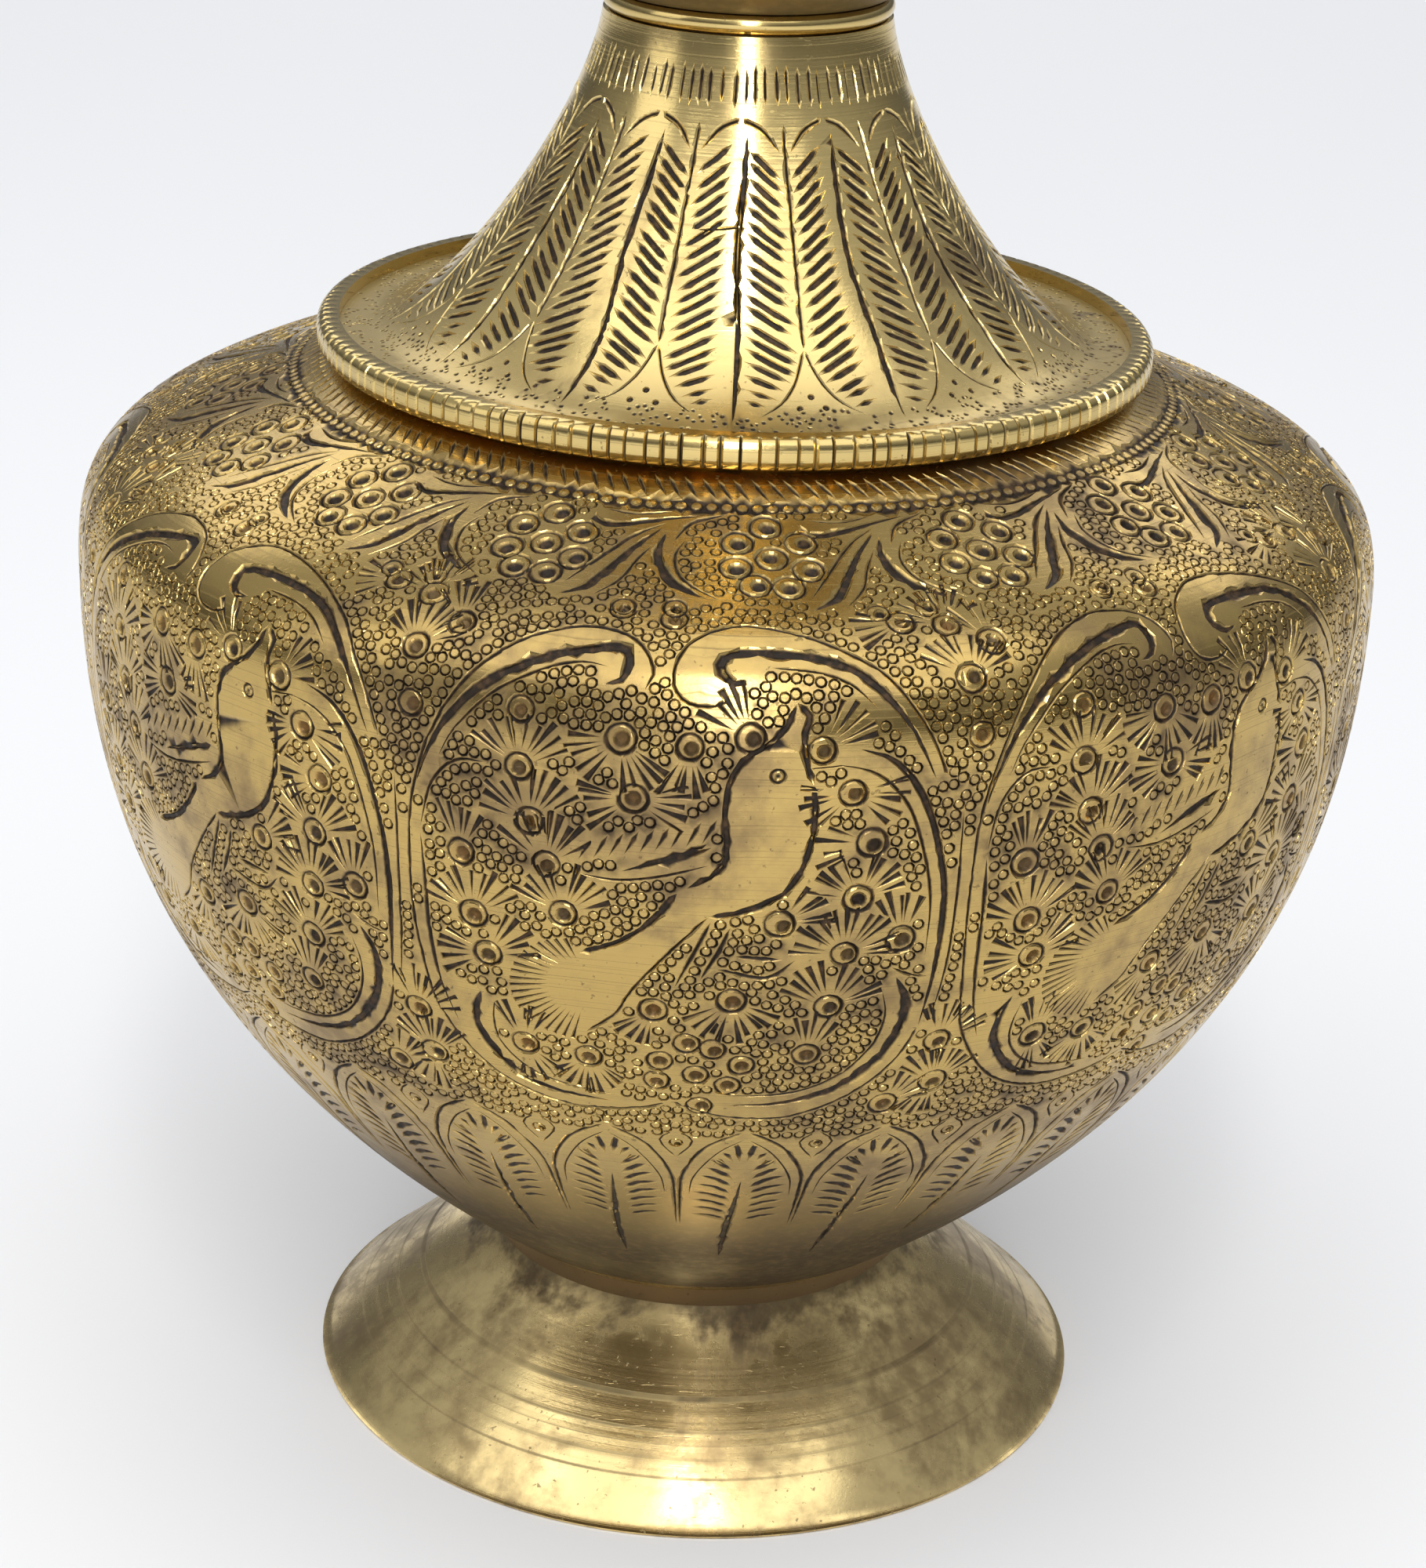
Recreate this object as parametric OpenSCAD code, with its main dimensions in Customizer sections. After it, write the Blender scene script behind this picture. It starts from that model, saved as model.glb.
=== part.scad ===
// Footed brass kalash pot, built up from spun and raised sheet sections that are brazed edge to edge.
// Units are millimetres. The origin is the centre of the ring on which the foot stands, +Z is up.

/* [Body] */
// Widest diameter of the body
body_d = 130; // [120:1:140]
// Height of the widest line above the table
belly_h = 92; // [88:1:96]
// Height at which the shoulder meets the collar
shoulder_top_h = 113.6; // [111:0.2:116]
// Thickness of the raised body sheet
body_wall = 1.2; // [0.9:0.1:1.5]

/* [Foot] */
// Diameter of the ring that stands on the table
foot_d = 82; // [76:1:88]
// Height at which the bowl sits on the foot
foot_h = 17.8; // [16:0.2:20]
// Diameter of the foot's waist, under the bowl
foot_waist_d = 44; // [40:1:48]
// Thickness of the foot, measured level
foot_wall = 1.9; // [1.5:0.1:2.3]

/* [Neck] */
// Diameter of the flat flange at the bottom of the neck
neck_flange_d = 78.4; // [76:0.2:80]
// Diameter of the neck at its top, under the ring
neck_top_d = 28; // [26:0.5:30]
// Height of the neck's top edge above the table
neck_top_h = 146.3; // [142:0.5:150]
// Thickness of the neck sheet
neck_wall = 1.1; // [0.9:0.1:1.3]

/* [Collar hoop] */
// Height of the cut hoop around the flange
hoop_h = 3.2; // [2.8:0.1:3.6]
// Thickness of the hoop, measured level
hoop_wall = 2.2; // [1.8:0.1:2.6]

/* [Knop and mouth] */
// Height of the ring beads above and below the knop
ring_h = 2; // [1.6:0.1:2.4]
// Widest diameter of the knop
knop_d = 39; // [36:0.5:42]
// Height of the knop between its two ring beads
knop_h = 23.2; // [21:0.2:26]
// Diameter of the narrow stem above the knop
stem_d = 24.4; // [23.4:0.2:26]
// Height of the flared mouth above the upper ring bead
mouth_h = 50; // [44:1:56]
// Diameter of the mouth at the middle of its rolled lip
mouth_d = 60; // [54:1:66]
// Thickness of the lip bead
lip_bead_d = 3.2; // [2.8:0.1:3.6]
// Thickness of the knop and mouth sheet
upper_wall = 1.1; // [0.9:0.1:1.2]

/* [Hidden] */

turned = 96;          // facets in a preview of a turned piece
steps = 24;           // straight steps in each outline curve
brass = [0.78, 0.64, 0.34];
dark_brass = [0.55, 0.45, 0.27];
bright_brass = [0.86, 0.73, 0.42];
spelter = [0.66, 0.62, 0.50];

body_r = body_d / 2;
foot_r = foot_d / 2;
waist_r = foot_waist_d / 2;
flange_r = neck_flange_d / 2;
neck_top_r = neck_top_d / 2;
knop_r = knop_d / 2;
stem_r = stem_d / 2;
mouth_r = mouth_d / 2;
lip_r = lip_bead_d / 2;

flange_top_h = shoulder_top_h + neck_wall;
throat_r = flange_r - 3.2;          // where the flange turns up into the neck
mouth_hole_r = throat_r - 3;        // opening in the top of the shoulder
hoop_bottom_h = shoulder_top_h - 0.9;
hoop_round = 1.1;                   // rounding of the hoop's outer corners

knop_bottom_h = neck_top_h + ring_h;
knop_mid_h = knop_bottom_h + knop_h / 2;
knop_top_h = knop_bottom_h + knop_h;
stem_bottom_h = knop_top_h + ring_h;
lip_h = stem_bottom_h + mouth_h;
sheet_end_r = mouth_r - 1;          // where the flared sheet meets the lip bead

sleeve_wall = 0.9;
neck_sleeve_r = neck_top_r - neck_wall - 0.4;
mouth_sleeve_r = stem_r - upper_wall;
bowl_floor_r = waist_r + 0.5;       // flat underside of the bowl, seated on the foot
bowl_turn_r = waist_r + 2;          // where the bowl's side starts to rise
bowl_turn_h = foot_h + 1.2;

// Points and normals of a cubic curve through p[0] and p[3], steered by p[1] and p[2]
function curve_point(p, t) =
  pow(1 - t, 3) * p[0] + 3 * pow(1 - t, 2) * t * p[1] + 3 * (1 - t) * t * t * p[2] + pow(t, 3) * p[3];
function curve_slope(p, t) =
  pow(1 - t, 2) * (p[1] - p[0]) + 2 * (1 - t) * t * (p[2] - p[1]) + t * t * (p[3] - p[2]);
function left_of(v) = [-v[1], v[0]] / norm(v);
function curve(p, n = steps) = [for (i = [0:n]) curve_point(p, i / n)];
function curve_inset(p, depth, n = steps) =
  [for (i = [0:n]) curve_point(p, i / n) + depth * left_of(curve_slope(p, i / n))];
function reversed(list) = [for (i = [len(list) - 1:-1:0]) list[i]];
function arc(centre, r, from, to, n = 8) =
  [for (i = [0:n]) centre + r * [cos(from + (to - from) * i / n), sin(from + (to - from) * i / n)]];

// Outline curves of the outer faces, from bottom to top, as [radius, height]
foot_curve = [
  [foot_r, 0],
  [foot_r - 7, 0.42 * foot_h],
  [waist_r + 3, 0.7 * foot_h],
  [waist_r, foot_h]
];
bowl_curve = [
  [bowl_turn_r, bowl_turn_h],
  [0.93 * body_r, bowl_turn_h + 0.37 * (belly_h - bowl_turn_h)],
  [body_r, bowl_turn_h + 0.71 * (belly_h - bowl_turn_h)],
  [body_r, belly_h]
];
shoulder_rise = shoulder_top_h - belly_h;
shoulder_curve = [
  [body_r, belly_h],
  [body_r, belly_h + 0.58 * shoulder_rise],
  [0.927 * body_r, belly_h + 0.5 * shoulder_rise],
  [throat_r, shoulder_top_h]
];
neck_rise = neck_top_h - flange_top_h;
neck_curve = [
  [throat_r, flange_top_h],
  [0.81 * throat_r, flange_top_h + 0.02 * neck_rise],
  [1.1 * neck_top_r, flange_top_h + 0.67 * neck_rise],
  [neck_top_r, neck_top_h]
];
knop_lower_curve = [
  [neck_top_r - 0.5, knop_bottom_h],
  [knop_r - 2.4, knop_bottom_h + 1.7],
  [knop_r, knop_mid_h - 5.4],
  [knop_r, knop_mid_h]
];
knop_upper_curve = [
  [knop_r, knop_mid_h],
  [knop_r, knop_mid_h + 5.4],
  [knop_r - 2.6, knop_top_h - 1.7],
  [stem_r + 0.8, knop_top_h]
];
mouth_curve = [
  [stem_r, stem_bottom_h],
  [stem_r + 0.3, stem_bottom_h + 0.5 * mouth_h],
  [0.56 * mouth_r, stem_bottom_h + 0.86 * mouth_h],
  [sheet_end_r, lip_h]
];

module turn(points) {
  rotate_extrude($fn = turned) polygon(points);
}

// A sheet of even thickness between an outline curve and its inset
module spun_sheet(p, wall) {
  turn(concat(curve(p), reversed(curve_inset(p, wall))));
}

// A turned ring with a half-round outer face
module ring_bead(inner_r, outer_r, bottom, height) {
  bead_r = height / 2;
  turn(concat(
    [[inner_r, bottom]],
    arc([outer_r - bead_r, bottom + bead_r], bead_r, -90, 90),
    [[inner_r, bottom + height]]
  ));
}

// Flared, hollow foot, open below, with a flat standing edge
module foot_cone() {
  outer = curve(foot_curve);
  color(dark_brass) turn(concat(outer, reversed([for (q = outer) q - [foot_wall, 0]])));
}

// Fillet of brazing spelter in the corner between the foot's waist and the bowl
module foot_braze() {
  foot_side = curve(foot_curve);
  color(spelter) turn([
    foot_side[steps],
    foot_side[steps - 1],
    foot_side[steps - 2],
    [bowl_turn_r, bowl_turn_h],
    [bowl_floor_r, foot_h]
  ]);
}

// Lower half of the body, raised from one sheet, with a flat floor
module bowl() {
  color(brass) turn(concat(
    [[0, foot_h], [bowl_floor_r, foot_h]],
    curve(bowl_curve),
    reversed(curve_inset(bowl_curve, body_wall)),
    [[bowl_floor_r, foot_h + body_wall], [0, foot_h + body_wall]]
  ));
}

// Spelter run along the inside of the seam at the widest line
module belly_braze() {
  below = curve_inset(bowl_curve, body_wall);
  above = curve_inset(shoulder_curve, body_wall);
  color(spelter) turn([
    below[steps - 1],
    below[steps],
    above[1],
    above[2],
    below[steps] - [0.9, 0]
  ]);
}

// Upper half of the body, closing in to a narrow level flange that the neck sits on
module shoulder() {
  inner = curve_inset(shoulder_curve, body_wall);
  color(brass) turn(concat(
    curve(shoulder_curve),
    [[mouth_hole_r, shoulder_top_h], [mouth_hole_r, inner[steps][1]]],
    reversed(inner)
  ));
}

// Half-round hoop around the neck's flange, with its face cut by hand
module collar_hoop() {
  outer_r = flange_r + hoop_wall;
  low = [outer_r - hoop_round, hoop_bottom_h + hoop_round];
  high = low + [0, hoop_h - 2 * hoop_round];
  color(bright_brass) turn(concat(
    [[flange_r, hoop_bottom_h]],
    arc(low, hoop_round, -90, 0),
    arc(high, hoop_round, 0, 90),
    [[flange_r, hoop_bottom_h + hoop_h]]
  ));
}

// Spelter between the level edge of the shoulder and the neck that rises from it
module neck_braze() {
  under = [for (q = curve_inset(neck_curve, neck_wall)) if (q[0] > mouth_hole_r) q];
  color(spelter) turn(concat(under, [[under[len(under) - 1][0], shoulder_top_h]]));
}

// Trumpet-shaped neck with a flat flange at its foot
module neck_cone() {
  color(brass) turn(concat(
    [[flange_r, shoulder_top_h], [flange_r, flange_top_h]],
    curve(neck_curve),
    reversed(curve_inset(neck_curve, neck_wall))
  ));
}

// Bright ring bead on the neck's top edge
module neck_ring() {
  color(bright_brass) ring_bead(neck_sleeve_r, neck_top_r + 0.1, neck_top_h, ring_h);
}

// Tube inside the joint between neck and knop
module neck_sleeve() {
  color(dark_brass) turn([
    [neck_sleeve_r - sleeve_wall, neck_top_h - 5],
    [neck_sleeve_r, neck_top_h - 5],
    [neck_sleeve_r, knop_bottom_h + 4],
    [neck_sleeve_r - sleeve_wall, knop_bottom_h + 4]
  ]);
}

// Lower and upper pressed cups of the knop, meeting at its widest line
module knop_lower_cup() {
  color(brass) spun_sheet(knop_lower_curve, upper_wall);
}
module knop_upper_cup() {
  color(brass) spun_sheet(knop_upper_curve, upper_wall);
}

// Spelter along the inside of the knop's seam
module knop_braze() {
  below = curve_inset(knop_lower_curve, upper_wall);
  above = curve_inset(knop_upper_curve, upper_wall);
  color(spelter) turn([
    below[steps - 3],
    below[steps - 2],
    below[steps - 1],
    below[steps],
    above[1],
    above[2],
    above[3],
    below[steps] - [0.8, 0]
  ]);
}

// Tube inside the joint between knop and mouth
module mouth_sleeve() {
  color(dark_brass) turn([
    [mouth_sleeve_r - sleeve_wall, knop_top_h - 3],
    [mouth_sleeve_r, knop_top_h - 3],
    [mouth_sleeve_r, stem_bottom_h],
    [mouth_sleeve_r - sleeve_wall, stem_bottom_h]
  ]);
}

// Bright ring bead between the knop and the stem
module mouth_ring() {
  color(bright_brass) ring_bead(mouth_sleeve_r, stem_r + 1.2, knop_top_h, ring_h);
}

// Fillet of spelter around the bottom of the stem
module mouth_braze() {
  stem = curve(mouth_curve);
  color(spelter) turn([
    stem[0],
    stem[0] + [0.5, 0],
    stem[0] + 0.25 * (stem[1] - stem[0])
  ]);
}

// Stem and flared mouth, one sheet
module mouth_flare() {
  inner = [for (q = curve_inset(mouth_curve, upper_wall)) if (q[0] < sheet_end_r) q];
  color(brass) turn(concat(curve(mouth_curve), reversed(inner)));
}

// Rolled bead around the lip, flat on the side that meets the sheet
module lip_bead() {
  color(bright_brass) rotate_extrude($fn = turned) intersection() {
    translate([mouth_r, lip_h]) circle(r = lip_r, $fn = 48);
    translate([sheet_end_r, lip_h - lip_r]) square([2 * lip_r, 2 * lip_r]);
  }
}

foot_cone();
foot_braze();
bowl();
belly_braze();
shoulder();
collar_hoop();
neck_braze();
neck_cone();
neck_ring();
neck_sleeve();
knop_lower_cup();
knop_braze();
knop_upper_cup();
mouth_sleeve();
mouth_ring();
mouth_braze();
mouth_flare();
lip_bead();
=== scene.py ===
# %% [markdown]
# # An engraved brass kalash pot
# The real pot is spun and raised from sheet brass, brazed together, turned on a lathe, and then engraved and
# punched by hand until hardly any plain metal is left. This lesson builds it in the same order. The packed
# model gives the frame and every size. The plain turned pieces come from one Geometry Nodes lathe. The
# engraved sheets are laid out flat, cut with every groove and ring punch as real geometry, and wrapped.

import math

import bmesh
import bpy
import numpy as np
from mathutils import Matrix, Vector
from mathutils.geometry import delaunay_2d_cdt


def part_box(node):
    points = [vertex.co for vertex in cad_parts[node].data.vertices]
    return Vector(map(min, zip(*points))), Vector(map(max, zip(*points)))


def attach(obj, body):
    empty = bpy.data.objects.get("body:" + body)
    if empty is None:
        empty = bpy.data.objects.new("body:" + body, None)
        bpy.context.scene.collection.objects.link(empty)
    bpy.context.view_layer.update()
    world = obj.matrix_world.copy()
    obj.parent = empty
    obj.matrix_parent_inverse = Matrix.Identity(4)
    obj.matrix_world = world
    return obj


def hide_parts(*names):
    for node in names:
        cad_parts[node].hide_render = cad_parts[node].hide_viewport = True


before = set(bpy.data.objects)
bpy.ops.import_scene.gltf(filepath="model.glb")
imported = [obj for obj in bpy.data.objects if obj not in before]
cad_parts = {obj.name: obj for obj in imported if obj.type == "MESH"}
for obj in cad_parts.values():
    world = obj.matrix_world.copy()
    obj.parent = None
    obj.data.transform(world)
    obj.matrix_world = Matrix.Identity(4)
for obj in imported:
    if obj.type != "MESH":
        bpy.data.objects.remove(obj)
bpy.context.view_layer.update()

# %% [markdown]
# A graver's grooves are between a quarter of a millimetre and a millimetre wide, so all layout work is in
# millimetres, and MM turns a finished point into Blender's metres. The driving sizes are read from the packed
# nodes, so that a piece always meets its neighbours. The few sizes that a box can't tell are named as well.

# %% Driving sizes
MM = 0.001


def top(node):
    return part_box(node)[1][2] / MM


def radius(node):
    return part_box(node)[1][0] / MM


lower_ring_proud = 0.1    # how far the ring beads stand out from the neck and from the stem
upper_ring_proud = 1.2
body_r = radius("bowl")
belly_h = top("bowl")
foot_r = radius("foot_cone")
foot_h = top("foot_cone")
shoulder_top_h = top("shoulder")
flange_r = radius("neck_cone")
neck_top_h = top("neck_cone")
ring_h = top("neck_ring") - neck_top_h
neck_top_r = radius("neck_ring") - lower_ring_proud
knop_r = radius("knop_lower_cup")
knop_bottom_h = neck_top_h + ring_h
knop_mid_h = top("knop_lower_cup")
knop_top_h = top("knop_upper_cup")
stem_bottom_h = top("mouth_ring")
stem_r = radius("mouth_ring") - upper_ring_proud
lip_r = (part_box("lip_bead")[1][2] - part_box("lip_bead")[0][2]) / MM / 2
lip_h = top("lip_bead") - lip_r
mouth_r = radius("lip_bead") - lip_r
hoop_r = radius("collar_hoop")
hoop_h = (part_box("collar_hoop")[1][2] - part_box("collar_hoop")[0][2]) / MM
hoop_bottom_h = top("collar_hoop") - hoop_h

waist_r = 22.0            # foot's waist under the bowl
foot_wall = 1.9           # measured level
body_wall = 1.2
upper_wall = 1.1          # neck, knop and mouth sheet
throat_r = flange_r - 3.2
flange_top_h = shoulder_top_h + upper_wall
bowl_turn = (waist_r + 2, foot_h + body_wall)
sheet_end_r = mouth_r - 1
print(f"body {2 * body_r:.1f} mm wide, belly {belly_h:.1f} mm up, mouth {2 * (mouth_r + lip_r):.1f} mm wide")

# %% [markdown]
# A spun sheet is known by its outline: a few smooth curves of radius against height. A cubic curve with two
# steering points is how a draughtsman would strike it. Outline also measures the run along the curve, which
# is what a craftsman's dividers step off, and a level: run stretched by ring / radius. In run and angle a
# small circle would squash as the pot narrows. In level and angle it stays round, at a changing scale.

# %% Outlines
def cubic(points, count=500):
    p = np.array(points, float)
    t = np.linspace(0, 1, count)[:, None]
    return (1 - t) ** 3 * p[0] + 3 * (1 - t) ** 2 * t * p[1] + 3 * (1 - t) * t**2 * p[2] + t**3 * p[3]


class Outline:
    """The outer face of a turned sheet, as [radius, height], with its length measured from a zero point."""

    def __init__(self, points, ring, zero=0.0):
        self.points = np.array(points)
        self.ring = ring
        steps = np.diff(self.points, axis=0)
        lengths = np.hypot(steps[:, 0], steps[:, 1])
        middle_r = (self.points[1:, 0] + self.points[:-1, 0]) / 2
        self.run = np.append(0, np.cumsum(lengths)) - zero
        self.level = np.append(0, np.cumsum(lengths * ring / middle_r))
        self.level -= np.interp(0, self.run, self.level)
        slope = np.gradient(self.points, axis=0)
        slope /= np.hypot(slope[:, 0], slope[:, 1])[:, None]
        self.outward = np.column_stack([slope[:, 1], -slope[:, 0]])

    def level_at(self, run):
        return np.interp(run, self.run, self.level)

    def run_at(self, level):
        return np.interp(level, self.level, self.run)

    def scale_at(self, level):
        return self.ring / np.interp(level, self.level, self.points[:, 0])

    def normals(self, x, level):
        angle = x / self.ring
        out_r = np.interp(level, self.level, self.outward[:, 0])
        out_z = np.interp(level, self.level, self.outward[:, 1])
        size = np.hypot(out_r, out_z)
        return np.column_stack([np.sin(angle) * out_r / size, -np.cos(angle) * out_r / size, out_z / size])

    def wrap(self, x, level, raised):
        angle = x / self.ring
        r = np.interp(level, self.level, self.points[:, 0])
        z = np.interp(level, self.level, self.points[:, 1])
        flat = np.column_stack([np.sin(angle) * r, -np.cos(angle) * r, z])
        return flat + self.normals(x, level) * np.asarray(raised)[:, None]


bowl_rise = belly_h - bowl_turn[1]
bowl_curve = cubic([
    bowl_turn,
    (0.93 * body_r, bowl_turn[1] + 0.37 * bowl_rise),
    (body_r, bowl_turn[1] + 0.71 * bowl_rise),
    (body_r, belly_h),
])
shoulder_rise = shoulder_top_h - belly_h
shoulder_curve = cubic([
    (body_r, belly_h),
    (body_r, belly_h + 0.58 * shoulder_rise),
    (0.927 * body_r, belly_h + 0.5 * shoulder_rise),
    (throat_r, shoulder_top_h),
])
neck_rise = neck_top_h - flange_top_h
neck_curve = cubic([
    (throat_r, flange_top_h),
    (0.81 * throat_r, flange_top_h + 0.02 * neck_rise),
    (1.1 * neck_top_r, flange_top_h + 0.67 * neck_rise),
    (neck_top_r, neck_top_h),
])
mouth_rise = lip_h - stem_bottom_h
mouth_curve = cubic([
    (stem_r, stem_bottom_h),
    (stem_r + 0.3, stem_bottom_h + 0.5 * mouth_rise),
    (0.56 * mouth_r, stem_bottom_h + 0.86 * mouth_rise),
    (sheet_end_r, lip_h),
])


def length_of(points):
    return np.hypot(*np.diff(points, axis=0).T).sum()


flange = np.array([(flange_r, flange_top_h), (throat_r + 0.02, flange_top_h)])
body_outline = Outline(np.vstack([bowl_curve, shoulder_curve[1:]]), body_r, length_of(bowl_curve))
neck_outline = Outline(np.vstack([flange, neck_curve]), 20.0, length_of(flange))
mouth_outline = Outline(mouth_curve, 15.0)
print(f"bowl {length_of(bowl_curve):.1f}, shoulder {length_of(shoulder_curve):.1f} mm along the sheet")

# %% [markdown]
# Engraving could be painted as a bump map, but then it would be gone from the mesh and from every edge and
# highlight. Here each cut is geometry. A graver leaves a V-shaped groove, so a cut is two rim lines at the
# surface and one bottom line below it. All the lines of a sheet go into one Delaunay triangulation, which
# keeps them as edges and fills in the plain metal. Each point also carries its patina, from 0 for polished
# metal to 1 for the black that collects in a groove, and the amber of old lacquer in the punch craters.

# %% Paths
def smooth_path(points, spacing):
    """Evenly spaced points on a smooth curve through the given ones."""
    p = np.array(points, float)
    if len(p) > 2:
        p = np.vstack([2 * p[0] - p[1], p, 2 * p[-1] - p[-2]])
        t = np.linspace(0, 1, 10, endpoint=False)[:, None]
        pieces = []
        for a, b, c, d in zip(p, p[1:], p[2:], p[3:]):
            bend = (2 * a - 5 * b + 4 * c - d) * t**2 + (3 * b - a - 3 * c + d) * t**3
            pieces.append((2 * b + (c - a) * t + bend) / 2)
        p = np.vstack(pieces + [p[-2:-1]])
    run = np.append(0, np.cumsum(np.hypot(*np.diff(p, axis=0).T)))
    at = np.linspace(0, run[-1], max(2, round(run[-1] / spacing)) + 1)
    return np.column_stack([np.interp(at, run, p[:, 0]), np.interp(at, run, p[:, 1])])


def side_of(path):
    """Unit vectors to the left of a path, one at each point."""
    along = np.gradient(path, axis=0)
    along /= np.maximum(np.hypot(along[:, 0], along[:, 1]), 1e-9)[:, None]
    return np.column_stack([-along[:, 1], along[:, 0]])


def inside(points, x, y):
    """Which of the points x, y lie inside a closed outline."""
    result = np.zeros(x.shape, bool)
    for (ax, ay), (bx, by) in zip(points, np.roll(points, -1, axis=0)):
        if ay != by:
            result ^= ((ay > y) != (by > y)) & (x < (bx - ax) * (y - ay) / (by - ay) + ax)
    return result


def distance_to(mask, reach):
    """Distance in cells to the nearest marked cell, no further than reach, on a grid that closes in x."""
    index = np.arange(mask.shape[0])[:, None]
    below = np.maximum.accumulate(np.where(mask, index, -reach - 1), axis=0)
    above = np.minimum.accumulate(np.where(mask, index, mask.shape[0] + reach)[::-1], axis=0)[::-1]
    gap = np.minimum(np.minimum(index - below, above - index), reach).astype(np.float32) ** 2
    best = gap.copy()
    for shift in range(1, reach):
        np.minimum(best, np.roll(gap, shift, axis=1) + shift**2, out=best)
        np.minimum(best, np.roll(gap, -shift, axis=1) + shift**2, out=best)
    return np.sqrt(best)


# %% [markdown]
# Sheet is the workbench. It holds the marks cut so far and a grid of small cells that knows where metal is
# already taken. The ring punches of the ground are the last marks to be made on the real pot: the craftsman
# follows each outline with a row of them and fills inwards. pack() does the same, because it takes free
# cells in order of their distance from the drawing, and keeps each new ring a punch's width from the last.

# %% The engraver's sheet
class Sheet:
    """A sheet of brass laid out flat, x round the pot and y up its outline, closed on itself in x."""

    CELL = 0.12               # side of a cell of the grid, in mm
    RIM_TONE = 0.12           # patina at the rim of a cut

    def __init__(self, outline, low, high, left_degrees, seed):
        self.outline = outline
        self.random = np.random.default_rng(seed)
        self.length = 2 * math.pi * outline.ring
        self.left = math.radians(left_degrees) * outline.ring
        self.low = float(outline.level_at(low))
        self.high = float(outline.level_at(high))
        self.cols = round(self.length / self.CELL)
        self.rows = int((self.high - self.low) / self.CELL) + 1
        self.row_level = self.low + (np.arange(self.rows) + 0.5) * self.CELL
        self.row_scale = outline.scale_at(self.row_level)
        self.taken = np.zeros((self.rows, self.cols), bool)
        self.discs = {}
        self.marks = []

    def layout(self, points, band_r):
        """Takes points drawn as x round a band of radius band_r and run up the outline to the flat sheet."""
        p = np.array(points, float)
        return np.column_stack([p[:, 0] * self.outline.ring / band_r, self.outline.level_at(p[:, 1])])

    def add(self, xy, raised, patina, edges, sharp, amber=0.0):
        count = len(xy)
        spread = [np.broadcast_to(np.asarray(value, float), count) for value in (raised, patina, amber)]
        self.marks.append((xy, *spread, np.array(edges, int).reshape(-1, 2), sharp))

    def disc_cells(self, reach):
        key = round(reach * 4)
        if key not in self.discs:
            span = np.arange(-int(key / 4) - 1, int(key / 4) + 2)
            rows, cols = np.meshgrid(span, span, indexing="ij")
            near = rows**2 + cols**2 <= (key / 4) ** 2
            self.discs[key] = (rows[near], cols[near])
        return self.discs[key]

    def cells_round(self, row, col, reach):
        rows, cols = self.disc_cells(reach)
        rows = rows + row
        kept = (rows >= 0) & (rows < self.rows)
        return rows[kept], (cols[kept] + col) % self.cols

    def cell_of(self, x, y):
        return int((y - self.low) / self.CELL), int((x - self.left) / self.CELL)

    def take(self, path, width):
        """Marks the metal under a wide line as taken."""
        scale = self.outline.scale_at(path[:, 1])
        for (x, y), reach in zip(path, width * scale / 2 / self.CELL):
            self.taken[self.cells_round(*self.cell_of(x, y), reach)] = True

    def take_area(self, points):
        """Marks the metal inside a closed outline on the flat sheet as taken."""
        low, high = points.min(axis=0), points.max(axis=0)
        (row0, col0), (row1, col1) = self.cell_of(*low), self.cell_of(*high)
        rows = np.arange(max(row0, 0), min(row1 + 1, self.rows))
        cols = np.arange(col0, col1 + 1)
        x, y = np.meshgrid(self.left + (cols + 0.5) * self.CELL, self.row_level[rows])
        hit = inside(points, x, y)
        self.taken[rows[:, None] + np.zeros_like(cols), (cols + 0 * rows[:, None]) % self.cols] |= hit

    def cut(self, points, band_r, width=0.4, depth=0.22, taper=(0.3, 0.3), ragged=0.06, patina=1.0, step=0.8):
        """A graver's groove. taper gives the part of its length over which each end runs out.

        A narrow groove is a V. A wide one was made by a flat chisel, and has a bed between its two sides.
        """
        path = self.layout(smooth_path(points, step), band_r)
        along = np.linspace(0, 1, len(path))
        start = np.clip(along / taper[0], 0, 1) if taper[0] else np.ones(len(path))
        end = np.clip((1 - along) / taper[1], 0, 1) if taper[1] else np.ones(len(path))
        swell = np.minimum(start, end) ** 0.8
        scale = self.outline.scale_at(path[:, 1])
        wobble = 1 + ragged * self.random.standard_normal((2, len(path))) * 2
        reach = swell * width / 2 * scale
        side = side_of(path)
        left = path + side * (reach * wobble[0])[:, None]
        right = path - side * (reach * wobble[1])[:, None]
        bottom = path.copy()
        flat_bottomed = width > 0.65
        beds = (-0.42, 0.42) if flat_bottomed else (0,)
        lengthwise = path[1] - path[0], path[-2] - path[-1]
        for place, toward in zip((0, -1), lengthwise):
            shift = 0.45 * reach[place] / max(np.hypot(*toward), 1e-6)
            bottom[place] += toward * shift
        sunk = -depth * np.maximum(swell, 0.35) * (1 + ragged * self.random.standard_normal(len(path)))
        xy, raised, dark, edges = [], [], [], []

        def chain(line, heights, tones):
            first = len(xy)
            xy.extend(line)
            raised.extend(heights)
            dark.extend(tones)
            edges.extend((first + i, first + i + 1) for i in range(len(line) - 1))
            return first, len(xy) - 1

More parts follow.
